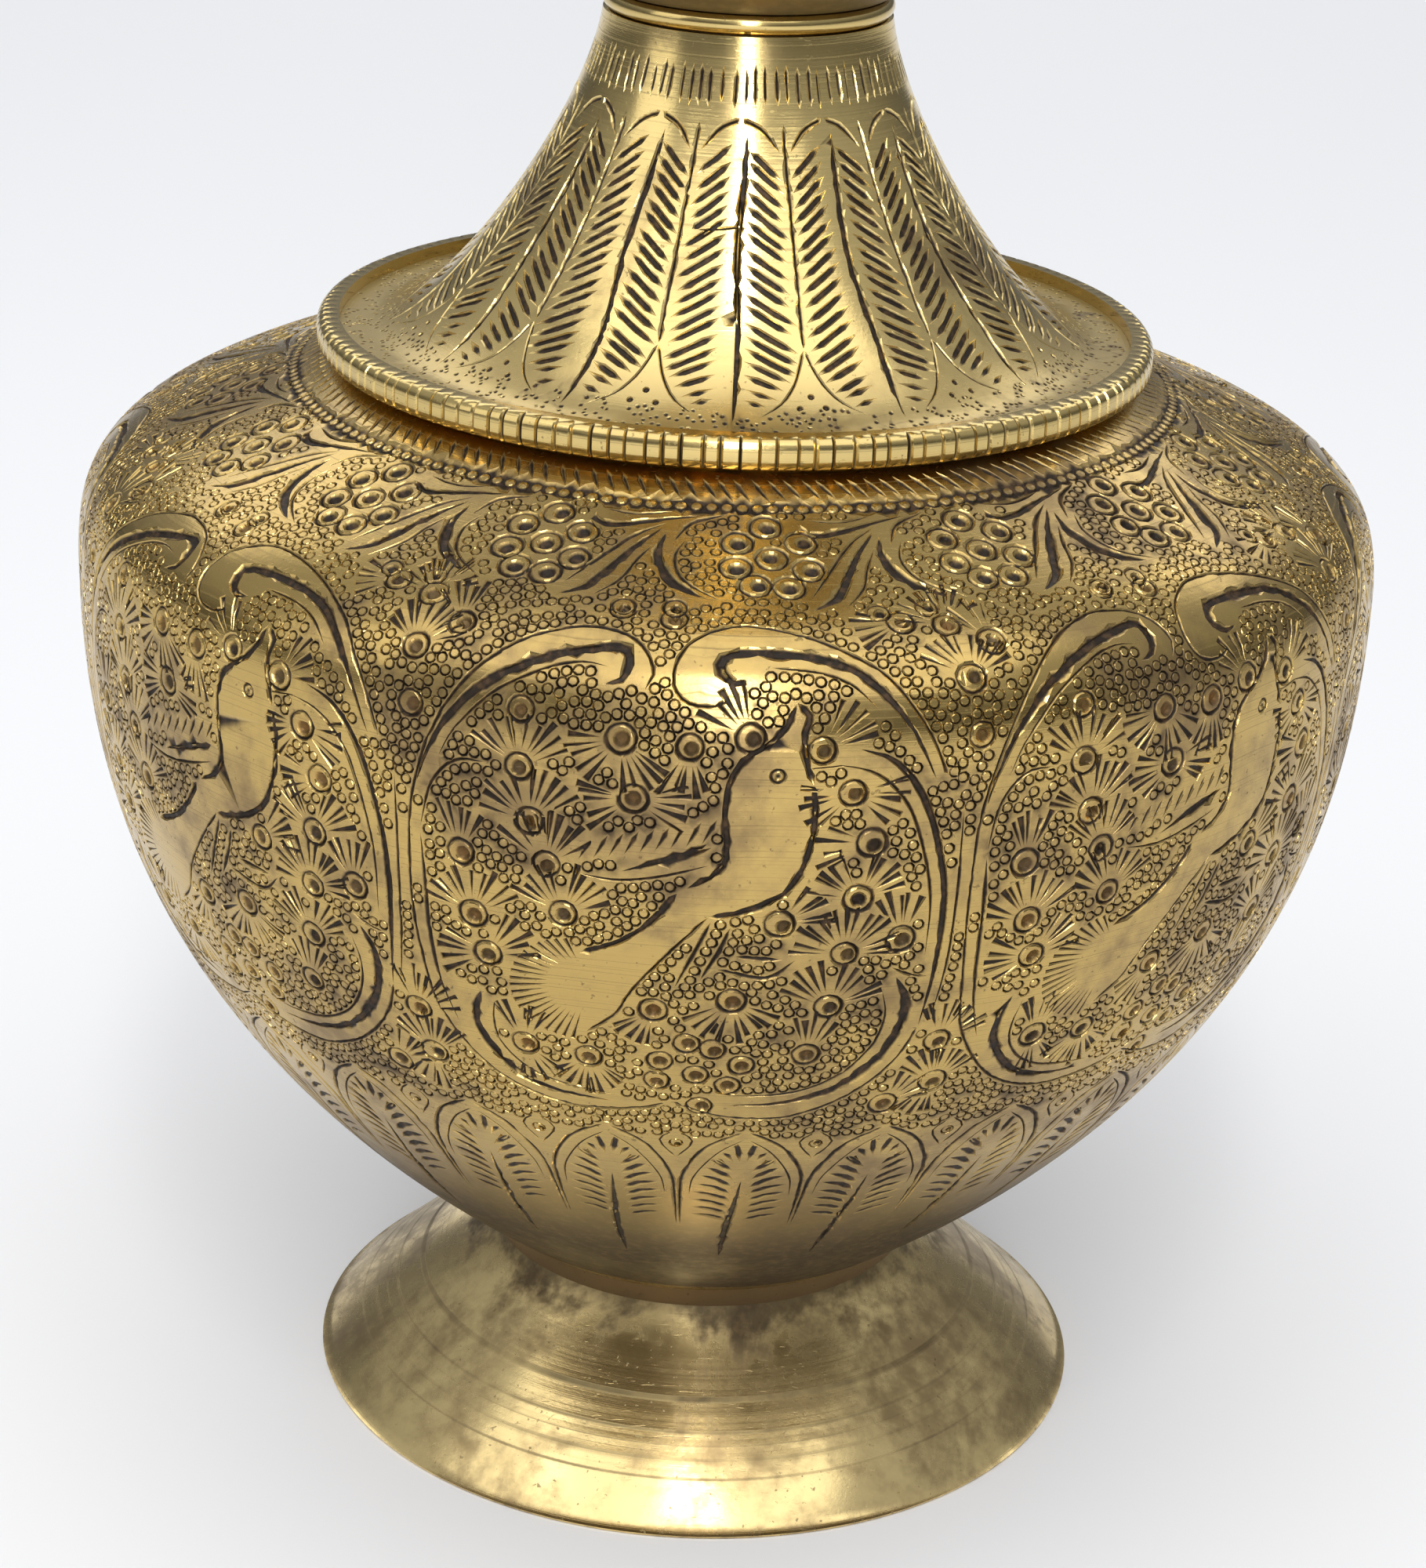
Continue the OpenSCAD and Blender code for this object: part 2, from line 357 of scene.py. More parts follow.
        inner = [i for i in range(len(path)) if swell[i] > 0.02]
        surface, rim_tone = np.zeros(len(inner)), np.full(len(inner), self.RIM_TONE)
        lefts = chain(left[inner], surface, rim_tone)
        rights = chain(right[inner], surface, rim_tone)
        for bed in beds:
            chain((bottom + side * (bed * reach)[:, None])[inner], sunk[inner], np.full(len(inner), patina))
        for place, end_of in ((0, 0), (len(path) - 1, 1)):
            if place in inner:
                edges.append((lefts[end_of], rights[end_of]))
            else:
                xy.append(path[place])
                raised.append(0.0)
                dark.append(self.RIM_TONE)
                edges.append((lefts[end_of], len(xy) - 1))
                edges.append((rights[end_of], len(xy) - 1))
        self.add(np.array(xy), raised, dark, edges, True)
        self.take(self.layout(smooth_path(points, 0.25), band_r), 0.8 * width)

    def rings(self, centres, radii, heights, tones, sides, sharp, amber=None, lean=0.0, offsets=None,
              tilt=None):
        """Round marks made of rings, from the rim in, and a middle point, all of one kind of punch.

        lean deepens a mark on the side that tilt points to, as a punch does that isn't held upright.
        """
        count = len(centres)
        if not count:
            return
        amber = amber or [0.0] * len(radii)
        scale = self.outline.scale_at(centres[:, 1])
        turn = self.random.uniform(0, 2 * math.pi, count)
        tilt = self.random.normal(-0.9, 0.7, count) if tilt is None else tilt
        for ring, (r, height, tone, rust) in enumerate(zip(radii, heights, tones, amber)):
            middle = centres if offsets is None else centres + offsets[ring] * scale[:, None]
            if r == 0:
                self.add(middle, height, tone, [], False, rust)
                continue
            angles = turn[:, None] + 2 * math.pi * np.arange(sides) / sides + ring * math.pi / sides
            wide = r * scale[:, None] * (1 + self.random.normal(0, 0.025, (count, sides)))
            x = middle[:, :1] + wide * np.cos(angles)
            y = middle[:, 1:] + wide * np.sin(angles)
            leaning = 1 + lean * np.cos(angles - tilt[:, None])
            first = sides * np.arange(count)[:, None]
            here = first + np.arange(sides)
            loop = np.stack([here, first + (np.arange(sides) + 1) % sides], axis=2).reshape(-1, 2)
            xy = np.column_stack([x.ravel(), y.ravel()])
            dark = np.clip(tone * leaning, 0, 1)
            self.add(xy, (height * leaning).ravel(), dark.ravel(), loop, sharp[ring], rust)

    def pack(self, allowed, spacing, order):
        """Chooses free cells as close together as spacing lets them lie, in the given order."""
        rows, cols = np.nonzero(allowed)
        sequence = np.lexsort((rows, cols, order[rows, cols]))
        flat = (rows * self.cols + cols)[sequence].tolist()
        busy = bytearray(self.rows * self.cols)
        view = np.frombuffer(busy, np.uint8).reshape(self.rows, self.cols)
        wobble = self.random.normal(1, 0.035, 4096)
        chosen = []
        for cell in flat:
            if busy[cell]:
                continue
            row, col = divmod(cell, self.cols)
            reach = spacing * self.row_scale[row] / self.CELL * wobble[len(chosen) % 4096]
            view[self.cells_round(row, col, reach)] = 1
            chosen.append((row, col))
        return np.array(chosen, int).reshape(-1, 2)

    def place_of(self, cells):
        return np.column_stack([self.left + (cells[:, 1] + 0.5) * self.CELL, self.row_level[cells[:, 0]]])

    def guide(self, ends, free):
        """A line that later parts the sheet. It takes its height from the marks that it crosses."""
        (x0, y0), (x1, y1) = ends
        count = max(2, round(math.hypot(x1 - x0, y1 - y0) / 1.2)) + 1
        line = np.column_stack([np.linspace(x0, x1, count), np.linspace(y0, y1, count)])
        kept = [0]
        for i in range(1, count - 1):
            row, col = self.cell_of(*line[i])
            if free[min(max(row, 0), self.rows - 1), col % self.cols]:
                kept.append(i)
        kept.append(count - 1)
        chain = [(i, i + 1) for i in range(len(kept) - 1)]
        return line[kept], chain


# %% [markdown]
# When all the marks are made, the sheet is triangulated once. A mark that runs off one end of the layout
# comes in at the other, so that the pattern closes at the back. Where two grooves cross, the triangulation
# adds a point, and that point takes the deeper of the two. A sheet of half a million triangles is then
# parted along guide lines into tiles that stay light enough to handle, and each tile gets its thickness
# back: a plain inner face and side walls, so that it is a closed solid.

# %% Triangulate, wrap and part a sheet
INNER_TONE = 0.4          # patina of the inner face, which nobody polishes


def gathered(sheet, guides):
    """Marks and guides as arrays: points, their values, edges, which are crisp, and the count of cut edges.

    A point's values are its height, its patina and its amber.
    """
    xy, values, edges, sharp = [], [], [], []
    first = 0
    margin = 3
    right = sheet.left + sheet.length
    for points, heights, tones, rusts, lines, is_sharp in sheet.marks:
        shifts = [0.0]
        if points[:, 0].min() < sheet.left + margin:
            shifts.append(sheet.length)
        if points[:, 0].max() > right - margin:
            shifts.append(-sheet.length)
        for shift in shifts:
            xy.append(points + (shift, 0))
            values.append(np.column_stack([heights, tones, rusts]))
            edges.append(lines + first)
            sharp.append(np.full(len(lines), is_sharp))
            first += len(points)
    cut_edges = sum(len(lines) for lines in edges)
    for line, chain in guides:
        xy.append(line)
        values.append(np.tile((0.0, 0.15, 0.0), (len(line), 1)))
        edges.append(np.array(chain) + first)
        sharp.append(np.full(len(chain), False))
        first += len(line)
    xy, values, edges, sharp = (np.concatenate(part) for part in (xy, values, edges, sharp))
    return xy, values, edges, sharp, cut_edges


def flat_mesh(sheet, guides):
    """Triangulates the marks of a sheet. Returns points, their values, faces and crisp edges."""
    xy, values, edges, sharp, cut_edges = gathered(sheet, guides)
    raised = values[:, 0]
    found = delaunay_2d_cdt(xy.tolist(), edges.tolist(), [], 0, 1e-5, True)
    points = np.array([tuple(p) for p in found[0]])
    faces = np.array(found[2])
    result = np.zeros((len(points), 3))
    deepest = {}
    for i, sources in enumerate(found[3]):
        if sources:
            chosen = sources if len(sources) == 1 else [min(sources, key=raised.__getitem__)]
            result[i] = values[chosen[0]]
        else:
            deepest[i] = (0.0, 0.1, 0.0)
    sharp_edges = set()
    for (a, b), sources in zip(np.array(found[1]).tolist(), found[4]):
        for source in sources:
            if source >= cut_edges:
                continue
            if sharp[source]:
                sharp_edges.add((a, b))
            for i in (a, b):
                if i in deepest:
                    p, q = edges[source]
                    along = xy[q] - xy[p]
                    t = np.dot(points[i] - xy[p], along) / max(np.dot(along, along), 1e-12)
                    between = values[p] + (values[q] - values[p]) * min(max(t, 0), 1)
                    if between[0] < deepest[i][0]:
                        deepest[i] = tuple(between)
    for i, value in deepest.items():
        result[i] = value
    middle = points[faces].mean(axis=1)
    kept = (middle[:, 0] > sheet.left) & (middle[:, 0] < sheet.left + sheet.length)
    kept &= (middle[:, 1] > sheet.low) & (middle[:, 1] < sheet.high)
    return points, result, faces[kept], sharp_edges


def solid_tile(sheet, xy, raised, faces, wall):
    """Adds an inner face and side walls to the outer faces of a tile. Returns 3-D points and faces."""
    used, compact = np.unique(faces, return_inverse=True)
    outer = compact.reshape(faces.shape)
    flat = xy[used]
    directed = np.vstack([outer[:, [0, 1]], outer[:, [1, 2]], outer[:, [2, 0]]])
    known = set(map(tuple, directed.tolist()))
    border = np.array([edge for edge in directed.tolist() if (edge[1], edge[0]) not in known])
    rim, rim_edges = np.unique(border, return_inverse=True)
    rim_edges = rim_edges.reshape(border.shape)
    low, high = flat.min(axis=0), flat.max(axis=0)
    grid = 3.0
    fill = [(x, y) for x in np.arange(low[0] + grid / 2, high[0], grid)
            for y in np.arange(low[1] + grid / 2, high[1], grid)]
    found = delaunay_2d_cdt(np.vstack([flat[rim], fill]).tolist(), rim_edges.tolist(), [], 1, 1e-6, True)
    inner_xy = np.array([tuple(p) for p in found[0]])
    inner = np.array(found[2])[:, ::-1]
    place = {source: i for i, sources in enumerate(found[3]) for source in sources}
    base = len(used)
    outer_points = sheet.outline.wrap(flat[:, 0], flat[:, 1], raised[used])
    inner_points = sheet.outline.wrap(inner_xy[:, 0], inner_xy[:, 1], np.full(len(inner_xy), -wall))
    walls = []
    for (a, b), (ra, rb) in zip(border.tolist(), rim_edges.tolist()):
        a_in, b_in = base + place[ra], base + place[rb]
        walls += [(b, a, a_in), (b, a_in, b_in)]
    points = np.vstack([outer_points, inner_points])
    return used, outer, points, np.vstack([inner + base, walls])


def mesh_of(name, points, faces):
    mesh = bpy.data.meshes.new(name)
    mesh.from_pydata((points * MM).tolist(), [], faces.tolist())
    return mesh


def set_values(mesh, name, values):
    attribute = mesh.attributes.new(name, "FLOAT", "POINT")
    attribute.data.foreach_set("value", np.asarray(values, np.float32))


def smooth_normals(sheet, xy, values, faces, sharp_edges):
    """Corner normals of the whole wrapped sheet: crisp at the cuts, and the turned form on plain metal."""
    points = sheet.outline.wrap(xy[:, 0], xy[:, 1], values[:, 0])
    keys = np.round(points, 3)
    _, index, merged = np.unique(keys, axis=0, return_index=True, return_inverse=True)
    merged = merged.reshape(-1)
    mesh = mesh_of("sheet_for_normals", points[index], merged[faces])
    ends = np.zeros(2 * len(mesh.edges), np.int32)
    mesh.edges.foreach_get("vertices", ends)
    ends = np.sort(ends.reshape(-1, 2), axis=1)
    pairs = np.array(sorted(sharp_edges))
    pairs = np.sort(merged[pairs], axis=1)
    count = len(points)
    crisp = np.isin(ends[:, 0].astype(np.int64) * count + ends[:, 1], pairs[:, 0] * count + pairs[:, 1])
    attribute = mesh.attributes.new("sharp_edge", "BOOLEAN", "EDGE")
    attribute.data.foreach_set("value", crisp)
    normals = np.zeros(3 * len(mesh.loops), np.float32)
    mesh.corner_normals.foreach_get("vector", normals)
    normals = normals.reshape(-1, 3, 3)
    plain = (np.abs(values[faces, 0]) < 0.02).all(axis=1)
    turned = sheet.outline.normals(xy[:, 0], xy[:, 1])
    normals[plain] = turned[faces[plain]]
    bpy.data.meshes.remove(mesh)
    return normals


def part_sheet(sheet, guides, tiles, wall, finish):
    """Builds the closed tiles of a sheet. tiles gives each tile's name, left, right, low and high edge."""
    xy, values, faces, sharp_edges = flat_mesh(sheet, guides)
    normals = smooth_normals(sheet, xy, values, faces, sharp_edges)
    middle = xy[faces].mean(axis=1)
    made = []
    for name, left, right, low, high in tiles:
        chosen = (middle[:, 0] > left) & (middle[:, 0] < right) & (middle[:, 1] > low) & (middle[:, 1] < high)
        used, outer, points, others = solid_tile(sheet, xy, values[:, 0], faces[chosen], wall)
        mesh = mesh_of(name, points, np.vstack([outer, others]))
        extra = len(points) - len(used)
        set_values(mesh, "patina", np.append(values[used, 1], np.full(extra, INNER_TONE)))
        set_values(mesh, "amber", np.append(values[used, 2], np.zeros(extra)))
        mesh.shade_smooth()
        corners = normals[chosen].reshape(-1, 3)
        mesh.normals_split_custom_set(np.vstack([corners, np.zeros((3 * len(others), 3))]).tolist())
        mesh.materials.append(finish)
        piece = bpy.data.objects.new(name, mesh)
        bpy.context.scene.collection.objects.link(piece)
        made.append(piece)
        print(f"  {name}: {len(mesh.polygons)} triangles")
    return made


# %% [markdown]
# The marks themselves come next. A ring punch is a small tube of hardened steel: struck square it leaves a
# round groove with a pearl of untouched metal in the middle, struck at a slant it leaves a crescent. A large
# ring punch with a round-nosed punch struck inside it makes the berry and the flower's eye.

# %% Punches and fans
PEARL_R = 0.58            # outer edge of the groove that the small ring punch leaves
PEARL_PITCH = 1.0
BERRY_R = 1.3


def strike_berries(sheet, places, band_r, size=1.0, rust=0.0):
    """Ring punch marks with a deep crater, which has slipped to one side as it does under the hammer.

    rust, from 0 to 1, is how much old lacquer is left in the crater.
    """
    centres = sheet.layout(places, band_r)
    slip = sheet.random.normal((0.12, -0.1), 0.1, (len(centres), 2))
    still = np.zeros_like(slip)
    radii = np.array([1.2, 1.0, 0.8, 0.6, 0.34, 0]) * BERRY_R * size
    sheet.rings(
        centres, radii, [0, -0.24, -0.02, 0.0, -0.36, -0.46], [0.12, 1, 0.12, 0.25, 0.95, 0.8], 12,
        [True, True, False, True, False, False], [0, 0, 0.1 * rust, 0.2 * rust, 0.8 * rust, rust], 0.3,
        offsets=[still, still, still, slip, slip, slip],
    )
    for x, y in centres:
        sheet.take(np.array([[x, y]]), 2.32 * BERRY_R * size)


def fan(sheet, x, run, toward, band_r, count=5, spread=54, near=1.6, far=5.0, width=0.72):
    """Wedge cuts that open outwards from a berry."""
    for i in range(count):
        angle = math.radians(toward + spread * (i / (count - 1) - 0.5) + sheet.random.normal(0, 2.5))
        reach = far * sheet.random.uniform(0.85, 1.08)
        ends = [(x + math.cos(angle) * d, run + math.sin(angle) * d) for d in (near, reach)]
        sheet.cut(ends, band_r, width * sheet.random.uniform(0.75, 1.1), 0.24, (1, 0), step=1.3)


def ground(sheet, low, high):
    """Ring punches over all the metal that is still free between two runs up the sheet."""
    row_width = 0.13
    distance = distance_to(sheet.taken, 40) * sheet.CELL / sheet.row_scale[:, None]
    runs = sheet.outline.run_at(sheet.row_level)
    zone = ((runs > low) & (runs < high))[:, None]
    allowed = zone & (distance > PEARL_R)
    order = np.round(distance / row_width)
    cells = sheet.pack(allowed, PEARL_PITCH, order)
    centres = sheet.place_of(cells)
    tilt = sheet.random.normal(-0.9, 0.8, len(centres))
    radii = np.array([1.02, 0.84, 0.58, 0]) * PEARL_R
    sheet.rings(centres, radii, [0, -0.22, -0.01, 0], [0.28, 1.1, 0.22, 0.1], 8, [True, True, True, False],
                lean=0.45, tilt=tilt)
    near = np.zeros_like(sheet.taken)
    for row, col in cells:
        cells_per_mm = sheet.row_scale[row] / sheet.CELL
        near[sheet.cells_round(row, col, 1.75 * PEARL_R * cells_per_mm)] = True
        sheet.taken[sheet.cells_round(row, col, 1.2 * PEARL_R * cells_per_mm)] = True
    gaps = sheet.pack(near & ~sheet.taken & (distance > 0.1), 0.6, np.zeros(near.shape))
    sheet.add(sheet.place_of(gaps), 0.0, 0.28, [], False)
    sheet.taken |= near
    print(f"  {len(cells)} ring punches and {len(gaps)} points of metal between them")


def plain_metal(sheet, spacing):
    """Points on the uncut metal, which keep its curve. Returns the cells that are well clear of any mark."""
    free = distance_to(sheet.taken, 12) * sheet.CELL > 0.5
    cells = sheet.pack(free, spacing, np.zeros(sheet.taken.shape))
    sheet.add(sheet.place_of(cells), 0.0, 0.08, [], False)
    return free


# %% [markdown]
# Each of the eight panels is a scrolled frame round a bird among flowers. The engraver drew every panel anew
# by eye, so no two are quite alike: here each panel's points are shifted a little by a seeded wobble.
# Places are x and run in millimetres from the panel's centre line and the belly seam.

# %% A bird panel
PANELS = 8
PANEL_R = body_r
LEFT_ARM = [(-3.2, 8), (-2.6, 10), (-4.5, 12.8), (-8, 13.9), (-11, 13.6), (-15, 11.8), (-19, 8), (-22, 3),
            (-24, -3), (-24.6, -8), (-24.6, -15), (-24, -21), (-23, -26), (-20, -31), (-16, -34.5),
            (-10, -36.5), (-3, -36), (0, -34.8)]
LEFT_SCROLL = [(-6.9, 8.3), (-5.3, 8.9), (-4.8, 10.6), (-5.8, 12), (-10, 11.2), (-14, 9.6), (-18, 7),
               (-21, 3.5), (-22.8, 0), (-23.8, -3)]
LEFT_LINE = [(-6.6, 9.9), (-9, 10.2), (-12, 9.4), (-16.5, 6.8), (-20, 3), (-21.6, 0)]
LEFT_LEAF = [(-17, 0.3), (-20, 0), (-22.3, -2.6), (-23.4, -7)]
LEFT_POST = [(-23.4, -7.5), (-23.2, -12), (-23, -18), (-22.4, -23), (-21, -27.5)]
LEFT_HOOK = [(-18.2, -23), (-19.1, -26), (-18.5, -29), (-15.7, -32.7), (-12, -34.6), (-6, -35.3)]
LEFT_HOOK_LINE = [(-16.9, -23.6), (-17.3, -26.5), (-16.8, -29.2), (-14.6, -31.8), (-11, -33.5), (-5, -34.4)]
RIGHT_ARM = [(4.6, 7.7), (2.5, 6.9), (0.2, 7.4), (-0.8, 9.6), (0.5, 12.8), (4, 14.8), (8, 14.8), (13, 13.3),
             (18, 10.3), (20.5, 7.2), (22.4, 4), (23.7, 0.5)]
RIGHT_SCROLL = [(6.4, 9.3), (4.6, 9.1), (3.4, 10.4), (4.6, 11.9), (10, 12), (14.5, 11), (17.6, 8.8),
                (20.4, 5.2), (22.6, 0.6)]
RIGHT_LINE = [(8, 10.6), (12, 10.3), (15, 9.2), (17.2, 7.2)]
RIGHT_BRANCH = [(15.6, 3.6), (18.8, 2.4), (21.3, -0.6), (23, -5), (24.2, -11), (24.2, -18), (23.6, -25)]
RIGHT_BRANCH_LINE = [(13.6, 2.2), (17.2, 1.3), (20, -1.4), (21.7, -5.6), (22.9, -11), (23, -17)]
RIGHT_POST = [(25.3, -2.5), (25.4, -10), (25.3, -18), (24.6, -24.5)]
RIGHT_HOOK = [(20.5, -19), (21.9, -22), (21.5, -26), (19.5, -29.6), (16, -32.8), (11, -34.6), (6, -35)]
RIGHT_HOOK_LINE = [(19.4, -20.4), (20.1, -23.5), (19.4, -27), (17, -30.4), (13, -32.8), (8, -33.6),
                   (4.6, -33.3)]
RIGHT_FOOT = [(23.6, -25), (22.4, -28.5), (19.8, -32), (16, -34.9), (11, -36.8), (5, -36.6), (0, -34.8)]

BIRD_BACK = [(10.2, 7.5), (9.2, 5.3), (7.5, 3.6), (5.5, 2.2), (4.4, 0), (4.2, -3), (4.4, -5.5), (4.3, -7.2),
             (3.2, -8.7), (1, -10)]
BIRD_TAIL = [(0.2, -10.5), (-2, -13.5), (-5, -15.9), (-8.5, -17.4)]
TAIL_END = [(-8.5, -17.4), (-11.5, -17.6), (-14.4, -19.4), (-14.9, -22.5), (-13.5, -25.3), (-11, -27.3),
            (-8, -26.3)]
TAIL_UNDER = [(-8, -26.3), (-5.3, -24), (-3.5, -20.8), (-1, -17.5), (1.5, -14.5), (3, -12.8)]
BIRD_BREAST = [(3, -12.8), (5.5, -12.3), (8, -11.3), (10.3, -9.3), (11.6, -6), (12, -2.5), (11.7, 0.3)]
BIRD_FACE = [(11.7, 0.3), (11.2, 2), (10.8, 4.5), (11.3, 6.3), (10.2, 7.5)]
WING_TOP = [(3.1, -5.9), (-0.5, -7.2), (-4.8, -8.7)]
WING_EDGE = [(3, -7.6), (-1, -8.9), (-5, -9.6), (-8.8, -9.2)]
BEAK = [(10.9, 1.7), (13, 1.9), (15, 2.2)]
LEGS = [
    [(3.3, -13.2), (1.8, -16.8), (0.2, -20.5)],
    [(5, -13.8), (4, -16.5), (2.5, -19.5)],
    [(5.5, -16.8), (9.8, -17)],
    [(4, -18.2), (8.5, -19), (11, -17)],
]
BIRD_EYE = (8.6, 1.0)

# Each flower: its place, then the directions of its fans in degrees
FLOWERS = [
    (15.2, -0.5, 200, -15), (17.1, -5.2, 190), (16.2, -10.7, 140, 45), (9.3, -13.3, 30),
    (20.5, -15, 95), (15.4, -16.4, 92, 150, 25), (14.5, -22.2, 130, 45), (13, -28, 82),
    (5.5, -21.7, 235, -50), (-1.7, -23.2, 235), (-8, -29.5, 240, -60), (-14.3, -28.8, 90, -70),
    (-17.3, -18.8, 180, 35), (-18.5, -14.8, 135, 60), (-10, -13.5, 130, 50), (-11.5, -8.7, 115, 60),
    (-19.5, -8.7, 90), (-13, -4.7, 140, 60), (-14, 0.3, 125, 55), (-5, 3.7, 205, -60),
    (1, 3.3, -95), (-3.8, -1.7, -8, 190), (6.2, 4.3, 125), (12.4, 3.4, 40),
]
BERRIES = [(-14, 5.5), (1.5, -27), (4, -27.6), (-1, -29.4), (6.9, -29.5), (2.5, -31), (-1.3, -32),
           (5.7, -32.3), (3, -35.3)]
# Flowers in the column between two panels, on both sides of the line that parts them
COLUMN_FLOWERS = [(25.5, 15, 100, 60, 140), (26.3, 9.4, 50, 125), (21, 15.6, 190), (-21.5, 12.6, 110),
                  (26, -27.2, 90, 40), (26.8, -32.6, 60, 120, 250), (22, -35.2, 45)]
COLUMN_BERRIES = [(-6.5, 16.4), (-1.3, 15.5), (26.8, 4.3)]


def panel_tools(sheet, centre):
    """Helpers for a panel at the given x: placed() shifts points to it with a wobble, cut() cuts them."""
    drift = sheet.random.normal(0, 0.18, 8)

    def placed(points):
        p = np.array(points, float)
        x = p[:, 0] + drift[0] * np.sin(p[:, 1] / 9 + drift[1] * 9) + drift[2]
        y = p[:, 1] + drift[3] * np.cos(p[:, 0] / 8 + drift[4] * 9)
        return np.column_stack([x + centre, y])

    def cut(points, *options, **named):
        sheet.cut(placed(points), PANEL_R, *options, **named)

    return placed, cut


def engrave_frame(cut):
    """The scrolled frame: thin outlines, and broad chisel cuts where the scrolls curl in."""
    for points in (LEFT_ARM, RIGHT_ARM, RIGHT_FOOT):
        cut(points, 0.42, 0.2, (0.02, 0.02), ragged=0.1)
    for points in (LEFT_SCROLL, RIGHT_SCROLL):
        cut(points, 1.2, 0.34, (0.1, 0.45), ragged=0.12)
    for points in (LEFT_HOOK, RIGHT_HOOK):
        cut(points, 1.15, 0.32, (0.12, 0.5), ragged=0.12)
    for points in (LEFT_LINE, RIGHT_LINE, LEFT_HOOK_LINE, RIGHT_HOOK_LINE, LEFT_LEAF, RIGHT_POST):
        cut(points, 0.38, 0.18, (0.2, 0.3))
    cut(LEFT_POST, 0.6, 0.24, (0.2, 0.4))
    cut(RIGHT_BRANCH, 0.75, 0.28, (0.15, 0.3))
    cut(RIGHT_BRANCH_LINE, 0.4, 0.2, (0.2, 0.3))
    cut([(20, -18), (21.8, -18.9), (23.5, -19.2)], 0.4, 0.2)


def engrave_bird(cut):
    """The bird: its outline, its wing with a row of feathers, its fanned tail and its legs."""
    for points in (BIRD_BACK, BIRD_TAIL, BIRD_BREAST, BIRD_FACE):
        cut(points, 0.74, 0.28, (0.06, 0.06), ragged=0.16)
    cut(TAIL_UNDER, 0.4, 0.2, (0.06, 0.06), ragged=0.12)
    cut(BEAK, 0.22, 0.12)
    cut(WING_TOP, 1.0, 0.3, (0.15, 0.6), ragged=0.2)
    cut(WING_EDGE, 0.36, 0.18)
    for i in range(9):
        x = -8.6 + 1.35 * i
        cut([(x, -7.9 + 0.28 * i), (x + 1.3, -5.6 + 0.3 * i)], 0.6, 0.22, (0.8, 0.2), step=1)
    for i in range(21):
        angle = math.radians(96 + 8.6 * i)
        outer = (-9.2 + 6.1 * math.cos(angle), -21.7 + 5.7 * math.sin(angle))
        inner = (-8.4 + 3.2 * math.cos(angle), -21.1 + 3.0 * math.sin(angle))
        cut([inner, outer], 0.42, 0.18, (1, 0), step=1)
    for leg in LEGS:
        cut(leg, 0.56, 0.22, (0.15, 0.3))


def engrave_panel(sheet, centre):
    """One scrolled frame with its bird, centred on a line at the given x."""
    placed, cut = panel_tools(sheet, centre)
    for outline in (
        BIRD_BACK + BIRD_TAIL + TAIL_END + TAIL_UNDER + BIRD_BREAST + BIRD_FACE,
        LEFT_ARM[:9] + LEFT_LINE[::-1],
        RIGHT_ARM + RIGHT_LINE[::-1],
        LEFT_HOOK + LEFT_ARM[:10:-1],
        RIGHT_HOOK_LINE + RIGHT_FOOT[::-1],
        RIGHT_BRANCH[:6] + RIGHT_BRANCH_LINE[::-1],
        WING_TOP + WING_EDGE[::-1],
    ):
        sheet.take_area(sheet.layout(placed(outline), PANEL_R))
    engrave_frame(cut)
    engrave_bird(cut)
    eye = sheet.layout(placed([BIRD_EYE]), PANEL_R)
    sheet.rings(eye, [0.8, 0.62, 0.4, 0], [0, -0.18, -0.02, -0.14], [0.12, 0.95, 0.1, 0.9], 10,
                [True, True, False, False])
    for x, run, *directions in FLOWERS + COLUMN_FLOWERS:
        (px, py), = placed([(x, run)])
        size, rust = sheet.random.uniform(0.9, 1.04), sheet.random.uniform(0, 0.9)
        strike_berries(sheet, [(px, py)], PANEL_R, size, rust)
        for toward in directions:
            fan(sheet, px, py, toward, PANEL_R)
    strike_berries(sheet, placed(BERRIES + COLUMN_BERRIES), PANEL_R, 0.9, 0.6)


print(f"a panel has {len(FLOWERS)} flowers and {len(BERRIES)} berries round its bird")

# %% [markdown]
# Round the shoulder runs a vine: sixteen rosettes of eight berries, each held by a heavy comma and a long
# veined leaf, with a crest over them and two small berries at their foot. Above it run a row of rings and a
# row of slanting strokes. Under the panels stand the petals of a lotus. Both repeat, so each is one function
# of its place round the pot.

# %% Vine and lotus petals
VINE_UNITS = 16
VINE_R = 52.0
ROSETTE = [(0.1, 0), (-3.1, 2), (-0.3, 4.2), (3, 2.1), (3.3, -1.5), (1.4, -3.8), (-1.5, -3.6), (-3.2, -1.3)]
COMMA = [(-9.6, 26.8), (-10, 24), (-8.8, 20.8), (-6.3, 18.8), (-5.2, 18.2)]
COMMA_LINE = [(-7.6, 26), (-8.4, 23.5), (-7.3, 20.5), (-4, 18)]
LEAF_VEIN = [(-10, 27.4), (-12.2, 24.5), (-13.8, 21.5), (-15.2, 18.8), (-17.4, 17.2)]
LEAF_LEFT = [(-9.8, 28), (-12.6, 26), (-15, 22.7), (-17.4, 18.6)]
LEAF_RIGHT = [(-10.6, 25), (-11.8, 22.6), (-12.7, 20), (-14.6, 17.5)]
CREST = [(-17.2, 28.6), (-17, 27.6), (-15.2, 27.2), (-12.3, 27.9), (-9.2, 28.7), (-6, 29.3)]
